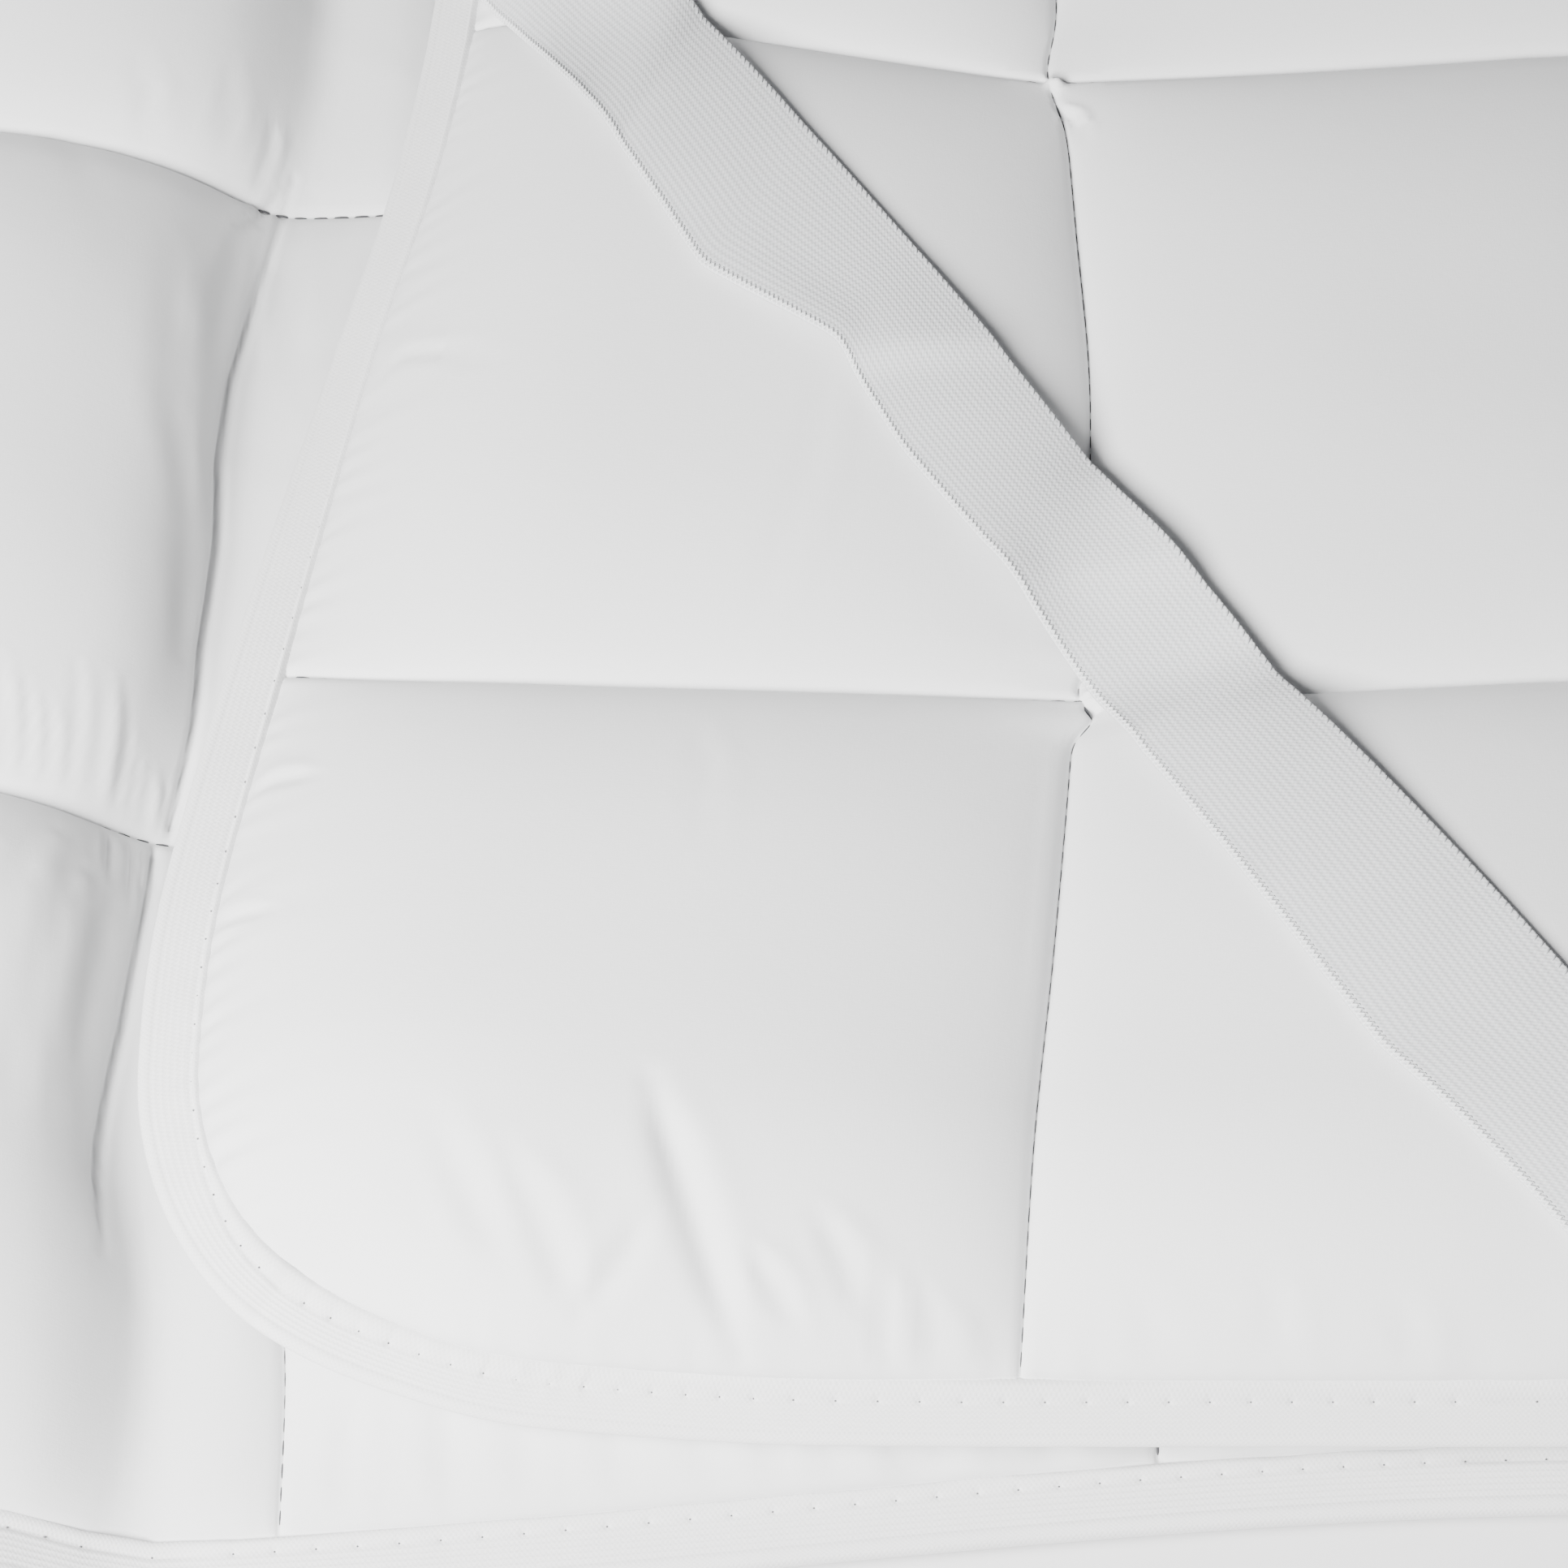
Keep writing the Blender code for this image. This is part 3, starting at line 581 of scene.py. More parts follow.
# ============================================================ the pad
def box_lines(count, pitch):
    inside = (0.0, 0.0026, 0.0068, 0.017, 0.042, 0.100, 0.210, 0.350, 0.5, 0.650, 0.790, 0.900, 0.958, 0.983, 0.9932, 0.9974)
    lines = []
    whole = count * pitch
    for k in range(count):
        low = TAPE if k == 0 else k * pitch
        high = whole - TAPE if k == count - 1 else (k + 1) * pitch
        if k == 0:
            lines += [0.0, TAPE * 0.5]
        lines += [low + f * (high - low) for f in inside]
        if k == count - 1:
            lines += [whole - TAPE, whole - TAPE * 0.5, whole]
    return np.array(lines)


def wanted(s, t, side):
    """How long a mesh edge may be at a pattern point, by side."""
    size = np.full(s.shape, 0.0300)
    top = side < 0
    open_air = np.where(top, s > 1.42, s < FOLD_MID + 0.02)
    size = np.where(open_air, 0.0130, size)
    edge = np.minimum(np.minimum(s, LENGTH - s), np.minimum(t, WIDTH - t))
    size = np.where(open_air & (edge < 0.035), 0.0070, size)
    a = (~top) & in_window(s, t, DETAIL_UNDER)
    size = np.where(a, 0.0040, size)
    near_s = np.abs(s - PITCH_S)
    near_t = np.minimum(np.abs(t - PITCH_T), np.abs(t - 2 * PITCH_T))
    size = np.where(a & (np.minimum(near_s, near_t) < 0.010), 0.0022, size)
    size = np.where(a & (near_s < 0.012) & (near_t < 0.014), 0.0010, size)
    size = np.where(a & (s < 0.034), 0.0014, size)
    size = np.where(a & (t < 0.050) & (s < 0.20), 0.0021, size)
    size = np.where(a & (t < 0.080) & (s > 0.040) & (s < 0.172), 0.0021, size)
    size = np.where(a & (t < 0.082) & (s > 0.090) & (s < 0.132), 0.0013, size)
    b = top & in_window(s, t, DETAIL_TOP)
    size = np.where(b & (s > 1.462), 0.0040, size)
    size = np.where(b & (s > 1.486) & (s < 1.545) & (t > 0.158) & (t < 0.212), 0.0016, size)
    size = np.where(b & (s > 1.482) & (s < 1.504) & (t > 0.06) & (t < 0.38), 0.0019, size)
    size = np.where(b & (s < 1.475) & (t < 0.045), 0.0036, size)
    return size


def build_pad():
    S, T = box_lines(BOXES_LONG, PITCH_S), box_lines(BOXES_WIDE, PITCH_T)
    ns, nt = len(S), len(T)
    grid = np.stack(np.meshgrid(S, T, indexing="ij"), -1).reshape(-1, 2)
    low = np.concatenate([np.c_[grid, np.full(len(grid), 0.0)], np.c_[grid, np.full(len(grid), -0.01)]])
    faces = []
    for side in (0, 1):
        base = side * ns * nt
        for i in range(ns - 1):
            for j in range(nt - 1):
                a = base + i * nt + j
                quad = (a, a + nt, a + nt + 1, a + 1)
                faces.append(quad if side == 0 else quad[::-1])
    walk = [(i, 0) for i in range(ns - 1)] + [(ns - 1, j) for j in range(nt - 1)]
    walk += [(i, nt - 1) for i in range(ns - 1, 0, -1)] + [(0, j) for j in range(nt - 1, 0, -1)]
    for (i0, j0), (i1, j1) in zip(walk, walk[1:] + walk[:1]):
        a, b = i0 * nt + j0, i1 * nt + j1
        faces.append((b, a, a + ns * nt, b + ns * nt))
    mesh = bpy.data.meshes.new("topper_pad")
    mesh.from_pydata(low.tolist(), [], faces)
    bm = bmesh.new()
    bm.from_mesh(mesh)
    for _ in range(5):
        bm.edges.ensure_lookup_table()
        bm.verts.ensure_lookup_table()
        co = np.array([v.co[:] for v in bm.verts])
        ends = np.array([(e.verts[0].index, e.verts[1].index) for e in bm.edges])
        a, b = co[ends[:, 0]], co[ends[:, 1]]
        flat = np.abs(a[:, 2] - b[:, 2]) < 1e-6
        m = (a + b) / 2
        length = np.hypot(a[:, 0] - b[:, 0], a[:, 1] - b[:, 1])
        side = np.where(m[:, 2] < -0.005, -1, 1)
        cut = flat & (length > wanted(m[:, 0], m[:, 1], side) * 1.25)
        if not cut.any():
            break
        chosen = [bm.edges[int(k)] for k in np.nonzero(cut)[0]]
        bmesh.ops.subdivide_edges(bm, edges=chosen, cuts=1, use_grid_fill=True)
        bm.verts.index_update()
        bm.edges.index_update()
    co = np.array([v.co[:] for v in bm.verts])
    side = np.where(co[:, 2] < -0.005, -1, 1)
    world = np.empty_like(co)
    for one in (1, -1):
        pick = side == one
        world[pick] = skin(co[pick, 0], co[pick, 1], one) - CENTRE
    # a corner box is one round cushion: the skin is eased along its diagonal
    ds, dt = np.minimum(co[:, 0], LENGTH - co[:, 0]), np.minimum(co[:, 1], WIDTH - co[:, 1])
    ease = np.exp(-((ds - dt) / 0.011) ** 2) * smooth(TAPE + 0.001, TAPE + 0.010, np.minimum(ds, dt))
    ease = ease * (1.0 - smooth(0.105, 0.135, np.maximum(ds, dt)))
    ends = np.array([(e.verts[0].index, e.verts[1].index) for e in bm.edges])
    ends = ends[(ease[ends] > 0.01).any(1)]
    for _ in range(18):
        total, links = np.zeros_like(world), np.zeros(len(world))
        for a, b in ((0, 1), (1, 0)):
            np.add.at(total, ends[:, a], world[ends[:, b]])
            np.add.at(links, ends[:, a], 1.0)
        mean = np.where(links[:, None] > 0, total / np.maximum(links, 1.0)[:, None], world)
        world = world + (mean - world) * (0.6 * ease)[:, None]
    uv = bm.loops.layers.uv.new("pattern")
    for f in bm.faces:
        for loop in f.loops:
            loop[uv].uv = (loop.vert.co.x, loop.vert.co.y)
    for v, p in zip(bm.verts, world):
        v.co = Vector(p)
    bmesh.ops.triangulate(bm, faces=bm.faces[:])
    bmesh.ops.recalc_face_normals(bm, faces=bm.faces[:])
    bm.to_mesh(mesh)
    bm.free()
    # the sign of the volume decides which way is out
    p = np.array([v.co[:] for v in mesh.vertices])
    tri = np.array([f.vertices[:] for f in mesh.polygons])
    vol = np.einsum("ij,ij->i", p[tri[:, 0]], np.cross(p[tri[:, 1]], p[tri[:, 2]])).sum()
    if vol < 0:
        mesh.flip_normals()
    mesh.shade_smooth()
    obj = bpy.data.objects.new("topper_pad", mesh)
    bpy.context.scene.collection.objects.link(obj)
    print("pad triangles", len(mesh.polygons))
    return obj


def tube_faces(count, per, closed_run):
    faces = []
    last = count if closed_run else count - 1
    for k in range(last):
        m = (k + 1) % count
        for q in range(per):
            r = (q + 1) % per
            faces.append((k * per + q, m * per + q, m * per + r, k * per + r))
    return faces


def add_mesh(name, verts, faces, uvs=None, sharp=None):
    mesh = bpy.data.meshes.new(name)
    mesh.from_pydata(np.asarray(verts, float).tolist(), [], [tuple(int(i) for i in f) for f in faces])
    mesh.update()
    if uvs is not None:
        layer = mesh.uv_layers.new(name="pattern")
        index = np.empty(len(mesh.loops), dtype=np.int32)
        mesh.loops.foreach_get("vertex_index", index)
        layer.data.foreach_set("uv", np.asarray(uvs, np.float32)[index].ravel())
    bm = bmesh.new()
    bm.from_mesh(mesh)
    bmesh.ops.recalc_face_normals(bm, faces=bm.faces[:])
    vol = bm.calc_volume(signed=True)
    if vol < 0:
        bmesh.ops.reverse_faces(bm, faces=bm.faces[:])
    bm.to_mesh(mesh)
    bm.free()
    mesh.shade_smooth()
    if sharp:
        mesh.set_sharp_from_angle(angle=math.radians(sharp))
    obj = bpy.data.objects.new(name, mesh)
    bpy.context.scene.collection.objects.link(obj)
    return obj


# ============================================================ the binding tape
STITCH = 0.0085
TAPE_IN = 0.0006        # how far the tape's inner edge lies over the quilting


def outline_point(edge, place, inset):
    """Pattern point on one edge, a given distance in, keeping the rounded corners' lines."""
    whole = LENGTH if edge in ("front", "rear") else WIDTH
    p = np.minimum(place, whole - place)
    w = np.clip((CORNER_ZONE - p) / CORNER_ZONE, 0.0, 1.0)
    q = np.where(p < CORNER_ZONE, CORNER_ZONE - w * (CORNER_ZONE - inset), p)
    along = np.where(place > whole / 2, whole - q, q)
    inset = np.zeros_like(along) + inset
    if edge == "front":
        return along, inset
    if edge == "rear":
        return along, WIDTH - inset
    if edge == "near":
        return inset, along
    return LENGTH - inset, along


def roll_width(edge, place):
    """Width of the plain rolled strip between the tape's inner edge and its stitches."""
    if edge == "near":
        return 0.0013 + 0.0026 * (1.0 - smooth(0.0, 0.060, np.minimum(place, WIDTH - place)))
    if edge == "front":
        return 0.0041 - 0.0014 * smooth(0.6, 1.2, place)
    return np.full(np.shape(place), 0.0027)


def tape_stations():
    """(edge, place) once round the outline: front, far end, rear, near end."""
    out = []
    fine = {"front": [(0.0, 0.275), (1.205, 1.470)], "near": [(0.0, 0.405)], "rear": [], "far": []}
    for edge, whole, forward in (("front", LENGTH, True), ("far", WIDTH, True), ("rear", LENGTH, False), ("near", WIDTH, False)):
        marks = []
        n = int(round(whole / STITCH))
        step = whole / n
        for k in range(n):
            at = k * step
            if any(a <= at <= b for a, b in fine[edge]):
                offs = (0.0, 0.0006, 0.0015, 0.0042, 0.0070, 0.0079)
                marks += [at + o * step / STITCH for o in offs]
            elif min(at, whole - at) < CORNER_ZONE:
                marks += [at, at + 0.5 * step]
            elif k % 2 == 0:
                marks += [at]
        if not forward:
            marks = [whole - m for m in marks]
        out += [(edge, m) for m in marks]
    return out


def build_tape():
    stations = tape_stations()
    count = len(stations)
    edges = np.array([e for e, _ in stations])
    place = np.array([p for _, p in stations])

    def at_inset(inset):
        s, t = np.empty(count), np.empty(count)
        for e in ("front", "far", "rear", "near"):
            m = edges == e
            s[m], t[m] = outline_point(e, place[m], inset[m] if np.ndim(inset) else inset)
        return s, t

    s0, t0 = at_inset(0.0)
    rim, rim_up = middle(s0, t0), normal(s0, t0)
    s1, t1 = at_inset(0.0015)
    out = unit(rim - middle(s1, t1))
    out = unit(out - (out * rim_up).sum(-1, keepdims=True) * rim_up)
    roll = np.empty(count)
    for e in ("front", "far", "rear", "near"):
        m = edges == e
        roll[m] = roll_width(e, place[m])
    n_stitch = {"front": round(LENGTH / STITCH), "rear": round(LENGTH / STITCH), "near": round(WIDTH / STITCH), "far": round(WIDTH / STITCH)}
    step = np.array([(LENGTH if e in ("front", "rear") else WIDTH) / n_stitch[e] for e in edges])
    phase = (place / step) % 1.0
    near_hole = np.minimum(phase, 1.0 - phase) * step
    dimple = np.exp(-(near_hole / 0.00055) ** 2)
    gen = np.random.default_rng(5)
    wave = np.interp(np.arange(count), np.arange(0, count + 9, 9), gen.uniform(-1, 1, len(np.arange(0, count + 9, 9))))

    # the tape is gathered where it turns the corner
    bend = 1.0 - smooth(0.085, 0.115, np.minimum(place, np.where((edges == "front") | (edges == "rear"), LENGTH, WIDTH) - place))
    ruffle = bend * np.sin(place * 2 * np.pi / 0.0062 + 1.7 * np.sin(place * 210.0)) * (0.6 + 0.4 * wave)

    rings, across = [], []

    def leg(side):
        """Rows from the inner edge outwards: (inset, height, stitch share)."""
        rows = []
        inner = TAPE + TAPE_IN + 0.00022 * wave
        hole = TAPE - roll
        rows.append((inner + 0.0001, 0.0015 * np.ones(count), 0))
        rows.append((inner, 0.0023 + 0.0002 * wave, 0))
        rows.append((inner - 0.00035, 0.0034 + 0.0002 * wave, 0))
        for f, h in ((0.25, 0.0037), (0.5, 0.0038), (0.75, 0.0034)):
            rows.append((inner - 0.00035 - f * (inner - 0.00035 - hole - 0.0005), h + 0.0004 * (roll < 0.002), 0))
        rows.append((hole + 0.00042, 0.0031 * np.ones(count), 0.6))
        rows.append((hole, 0.0029 * np.ones(count), 1.0))
        rows.append((hole - 0.00042, 0.0030 * np.ones(count), 0.6))
        first = hole - 0.0007
        last = 0.0026
        ribs = 5
        for r in range(ribs):
            for f, h in ((0.0, 0.00), (0.33, 0.00027), (0.67, 0.00027)):
                q = (r + f) / ribs
                rows.append((first + (last - first) * q, (0.00292 + 0.0002 * q + h) * np.ones(count), 0))
        rows.append((np.full(count, last - 0.0001), 0.00300 * np.ones(count), 0))
        rows.append((np.full(count, 0.0021), 0.0034 * np.ones(count), 0))
        rows.append((np.full(count, 0.0012), 0.00355 * np.ones(count), 0))
        res = []
        for inset, height, share in rows:
            s, t = at_inset(inset)
            h = height - 0.0006 * dimple * share
            h = h + 0.00042 * ruffle * np.exp(-((inset - 0.0095) / 0.0032) ** 2)
            res.append(middle(s, t) + normal(s, t) * (h * side)[:, None])
        return res, [r[0] for r in rows]

    top, top_at = leg(1)
    low, low_at = leg(-1)
    rings += top
    across += [0.0125 - np.mean(a) for a in top_at]
    for k, angle in enumerate((78, 52, 26, 0, -26, -52, -78)):
        a = math.radians(angle)
        bulge = 0.0034 + 0.00012 * math.cos(3 * a)
        rings.append(rim + out * (bulge * 0.40 * math.cos(a)) + rim_up * (bulge * math.sin(a)))
        across.append(0.0125 + 0.0006 * (k + 1))
    rings += low[::-1]
    across += [0.018 + np.mean(a) for a in low_at[::-1]]
    for inset, h in ((TAPE, -0.00225), (0.006, -0.00215), (0.0008, -0.0021)):
        s, t = at_inset(inset)
        rings.append(middle(s, t) + normal(s, t) * h)
        across.append(0.04)
    rings.append(rim + out * 0.0007)
    across.append(0.045)
    for inset, h in ((0.0008, 0.0021), (0.006, 0.00215), (TAPE, 0.00225)):
        s, t = at_inset(inset)
        rings.append(middle(s, t) + normal(s, t) * h)
        across.append(0.05)
    per = len(rings)
    verts = np.stack(rings, 1).reshape(-1, 3) - CENTRE
    verts[:, 2] = np.maximum(verts[:, 2], 0.0)
    seg = np.linalg.norm(np.roll(rim, -1, 0) - rim, axis=1)
    run = np.concatenate([[0.0], np.cumsum(seg)[:-1]])
    uvs = np.stack([np.repeat(run, per), np.tile(np.array(across), count)], -1)
    obj = add_mesh("topper_binding", verts, tube_faces(count, per, True), uvs)
    print("tape triangles", 2 * count * per)
    return obj


def capsule(a, b, up, radius, sides=5):
    """A short thread between two points: rings of a capsule."""
    axis = b - a
    length = np.linalg.norm(axis)
    axis = axis / length
    right = np.cross(axis, up)
    right /= np.linalg.norm(right)
    top = np.cross(right, axis)
    verts = []
    for q, r, sag in ((0.0, 0.35, -0.9), (0.14, 0.9, -0.1), (0.5, 1.0, 0.25), (0.86, 0.9, -0.1), (1.0, 0.35, -0.9)):
        for k in range(sides):
            w = 2 * math.pi * k / sides
            verts.append(a + axis * length * q + (right * math.cos(w) + top * math.sin(w)) * radius * r + top * radius * sag)
    faces = []
    for i in range(4):
        for k in range(sides):
            m = (k + 1) % sides
            faces.append((i * sides + k, i * sides + m, (i + 1) * sides + m, (i + 1) * sides + k))
    faces.append(tuple(range(sides))[::-1])
    faces.append(tuple(4 * sides + k for k in range(sides)))
    return verts, faces


def build_threads(name, pairs, ups, radius):
    verts, faces = [], []
    for (a, b), up in zip(pairs, ups):
        v, f = capsule(a, b, up, radius)
        base = len(verts)
        verts += v
        faces += [tuple(base + i for i in face) for face in f]
    return add_mesh(name, np.array(verts) - CENTRE, faces)


# painted shade: these short near-black stitches draw the shaded needle holes along the tape's stitch line
def tape_threads():
    pairs, ups = [], []
    for edge, whole in (("front", LENGTH), ("far", WIDTH), ("rear", LENGTH), ("near", WIDTH)):
        n = int(round(whole / STITCH))
        step = whole / n
        at = np.arange(1, n) * step
        ends = []
        for side in (1, -1):
            for off in (-0.00025, 0.00025):
                place = at + off
                inset = TAPE - roll_width(edge, place)
                s, t = outline_point(edge, place, inset)
                up = normal(s, t) * side
                ends.append((middle(s, t) + up * 0.00246, up))
        for k in range(n - 1):
            for m in (0, 2):
                pairs.append((ends[m][0][k], ends[m + 1][0][k]))
                ups.append(ends[m][1][k])
    return build_threads("tape_stitches_painted_shade", pairs, ups, 0.00024)


def seam_threads():
    """Quilting stitches lying in the bottom of the seams, on both faces; their near-black colour is painted shade of
    the closed seam slit.
    """
    pairs, ups = [], []
    pitch = 0.0050

    def row(s, t, side):
        up = normal(s, t) * side
        return middle(s, t) + up * (SEAM_HALF + 0.00012), up
    for side in (1, -1):
        for k in range(1, BOXES_LONG):
            if side > 0 and k * PITCH_S > FOLD_END:
                continue
            at = np.arange(TAPE + 0.002, WIDTH - TAPE - 0.004, pitch)
            s = np.full(len(at), k * PITCH_S)
            a, up = row(s, at + 0.0006, side)
            b, _ = row(s, at + pitch - 0.0006, side)
            pairs += list(zip(a, b))
            ups += list(up)
        for k in range(1, BOXES_WIDE):
            at = np.arange(TAPE + 0.002, LENGTH - TAPE - 0.004, pitch)
            if side > 0:
                at = at[at < FOLD_END]
            else:
                at = at[at > 1.40]
            t = np.full(len(at), k * PITCH_T)
            a, up = row(at + 0.0006, t, side)
            b, _ = row(at + pitch - 0.0006, t, side)
            pairs += list(zip(a, b))
            ups += list(up)
    return build_threads("quilting_stitches_painted_shade", pairs, ups, 0.00032)


# ============================================================ the elastic straps
RIBS = 24


def curve_table(rows, q):
    """Straight runs through rows (place, x, y), eased a little at each row."""
    px = np.array([r[0] for r in rows])
    fine = np.linspace(-0.03, 1.03, 1061)
    kernel = np.exp(-np.linspace(-2.2, 2.2, 23) ** 2)
    kernel /= kernel.sum()
    cols = []
    for c in (1, 2):
        py = np.array([r[c] for r in rows])
        v = np.interp(fine, px, py)
        v = np.where(fine < 0, py[0] + (py[1] - py[0]) / (px[1] - px[0]) * fine, v)
        v = np.where(fine > 1, py[-1] + (py[-1] - py[-2]) / (px[-1] - px[-2]) * (fine - 1), v)
        v = np.convolve(np.pad(v, 11, mode="edge"), kernel, mode="valid")
        cols.append(np.interp(q, fine, v))
    return np.stack(cols, -1)


def taut(dist, z, up):
    hull = []
    sign = 1.0 if up else -1.0
    for p in zip(dist, z):
        while len(hull) > 1:
            (x1, z1), (x2, z2) = hull[-2], hull[-1]
            if (x2 - x1) * (sign * p[1] - sign * z1) - (sign * z2 - sign * z1) * (p[0] - x1) >= 0:
                hull.pop()
            else:
                break
        hull.append(p)
    return np.interp(dist, [h[0] for h in hull], [h[1] for h in hull])


def build_strap(name, left, right, tree, over, steps, lifts=(), follow=0.35):
    """A ribbed elastic ribbon between its two long edges, lying over (or under) the pad."""
    q = np.linspace(0.0, 1.0, steps)
    L, R = curve_table(left, q), curve_table(right, q)
    per = RIBS * 4 + 1
    w = np.linspace(0.0, 1.0, per)
    lanes = np.linspace(-0.03, 1.03, 9)
    sign = 1.0 if over else -1.0
    probe = Vector((0, 0, -sign))
    field = np.zeros((steps, len(lanes)))
    for j, lane in enumerate(lanes):
        P = L + (R - L) * lane
        hit_z = []
        for x, y in P:
            hit = tree.ray_cast(Vector((x - CENTRE[0], y - CENTRE[1], sign)), probe)[0]
            hit_z.append(hit.z if hit is not None else np.nan)
        hit_z = np.array(hit_z)
        good = ~np.isnan(hit_z)
        hit_z = np.interp(np.arange(steps), np.arange(steps)[good], hit_z[good])
        dist = np.concatenate([[0.0], np.cumsum(np.hypot(*(P[1:] - P[:-1]).T))])
        line = taut(dist, hit_z, over)
        field[:, j] = line + (hit_z - line) * follow
    # the ribbon is stiff across its width: it keeps to a slanted line over the highest points
    kernel = np.exp(-np.linspace(-2, 2, 9) ** 2)
    kernel /= kernel.sum()
    smooth_field = np.empty_like(field)
    for j in range(len(lanes)):
        pad_ = np.pad(field[:, j], 4, mode="edge")
        smooth_field[:, j] = np.convolve(pad_, kernel, mode="valid")
    best = np.empty((steps, per))
    for i in range(steps):
        fit = np.polyfit(lanes, smooth_field[i], 2)
        base = np.polyval(fit, w)
        miss = (field[i] - np.polyval(fit, lanes)) * sign
        best[i] = base + sign * max(0.0, miss.max())
    best = best + sign * 0.0009
    for at_q, at_w, dq_up, dq_down, dw, slant, high in lifts:
        qq = q[:, None] - at_q - slant * (w[None, :] - 0.5)
        dq = np.where(qq < 0, dq_up, dq_down)
        best = best + sign * high * np.exp(-(qq / dq) ** 2) * np.exp(-((w[None, :] - at_w) / dw) ** 2)
    plan = L[:, None, :] + (R - L)[:, None, :] * w[None, :, None]
    top = np.concatenate([plan, best[..., None]], -1)
    d_q = np.gradient(top, axis=0)
    d_w = np.gradient(top, axis=1)
    up = unit(np.cross(d_w, d_q))
    flip = np.where((up[..., 2:3] * sign) < 0, -1.0, 1.0)
    up = up * flip
    rib = np.abs(np.sin(np.pi * RIBS * w)) ** 0.8
    rib = rib * (1.0 - 0.5 * (np.abs(w - 0.5) > 0.475))
    wall = 0.0007
    upper = top + up * (wall + 0.00011 * rib[None, :, None])
    lower = top - up * (0.00002 + 0.00012 * rib[None, ::1, None])
    verts, uvs = [], []
    length = np.concatenate([[0.0], np.cumsum(np.linalg.norm(top[1:, per // 2] - top[:-1, per // 2], axis=1))])
    low_pick = list(range(per - 1, -1, -2))
    ring = per + len(low_pick)
    for i in range(steps):
        verts.append(np.concatenate([upper[i], lower[i][low_pick]]))
        uvs.append(np.concatenate([
            np.stack([np.full(per, length[i]), w * 0.035], -1),
            np.stack([np.full(len(low_pick), length[i]), w[low_pick] * 0.035], -1)]))
    verts = np.concatenate(verts) - CENTRE
    faces = tube_faces(steps, ring, False)
    faces.append(tuple(range(ring))[::-1])
    faces.append(tuple((steps - 1) * ring + k for k in range(ring)))
    if not over:
        verts[:, 2] = np.maximum(verts[:, 2], 0.0002)
    obj = add_mesh(name, verts, faces, np.concatenate(uvs))
    return obj, upper, up, q, length


def build_selvage(name, upper, up, side, pitch, radius, dots):
    """A chain of small loops along one long edge of a strap, as one joined mesh."""
    col = 0 if side == 0 else upper.shape[1] - 1
    step_in = 5 if side == 0 else -4
    edge, inner, nrm = upper[:, col], upper[:, col + step_in], up[:, col]
    dist = np.concatenate([[0.0], np.cumsum(np.linalg.norm(edge[1:] - edge[:-1], axis=1))])
    at = np.arange(pitch, dist[-1] - pitch, pitch)

    def read(field, x):
        return np.stack([np.interp(x, dist, field[:, k]) for k in range(3)], -1)
    pairs, ups = [], []
    for off in ((0.0, 0.9), (0.5, 1.4)) if not dots else ((0.0, 0.55),):
        a = read(edge, at + off[0] * pitch) + read(nrm, at + off[0] * pitch) * 0.00005
        b = read(inner, at + off[1] * pitch) + read(nrm, at + off[1] * pitch) * 0.00012
        if off[0] == 0.5:
            a, b = (read(inner, at + off[0] * pitch) + read(nrm, at) * 0.00012,
                    read(edge, at + off[1] * pitch) + read(nrm, at) * 0.00005)
        pairs += list(zip(a, b))
        ups += list(read(nrm, at))
    return build_threads(name, pairs, ups, radius)


# ============================================================ materials
def new_material(name):
    mat = bpy.data.materials.new(name)
    mat.use_nodes = True
    tree = mat.node_tree
    return mat, tree, tree.nodes, tree.links, tree.nodes["Principled BSDF"]


def node(nodes, kind, **props):
    n = nodes.new(kind)
    for k, v in props.items():
        setattr(n, k, v)
    return n


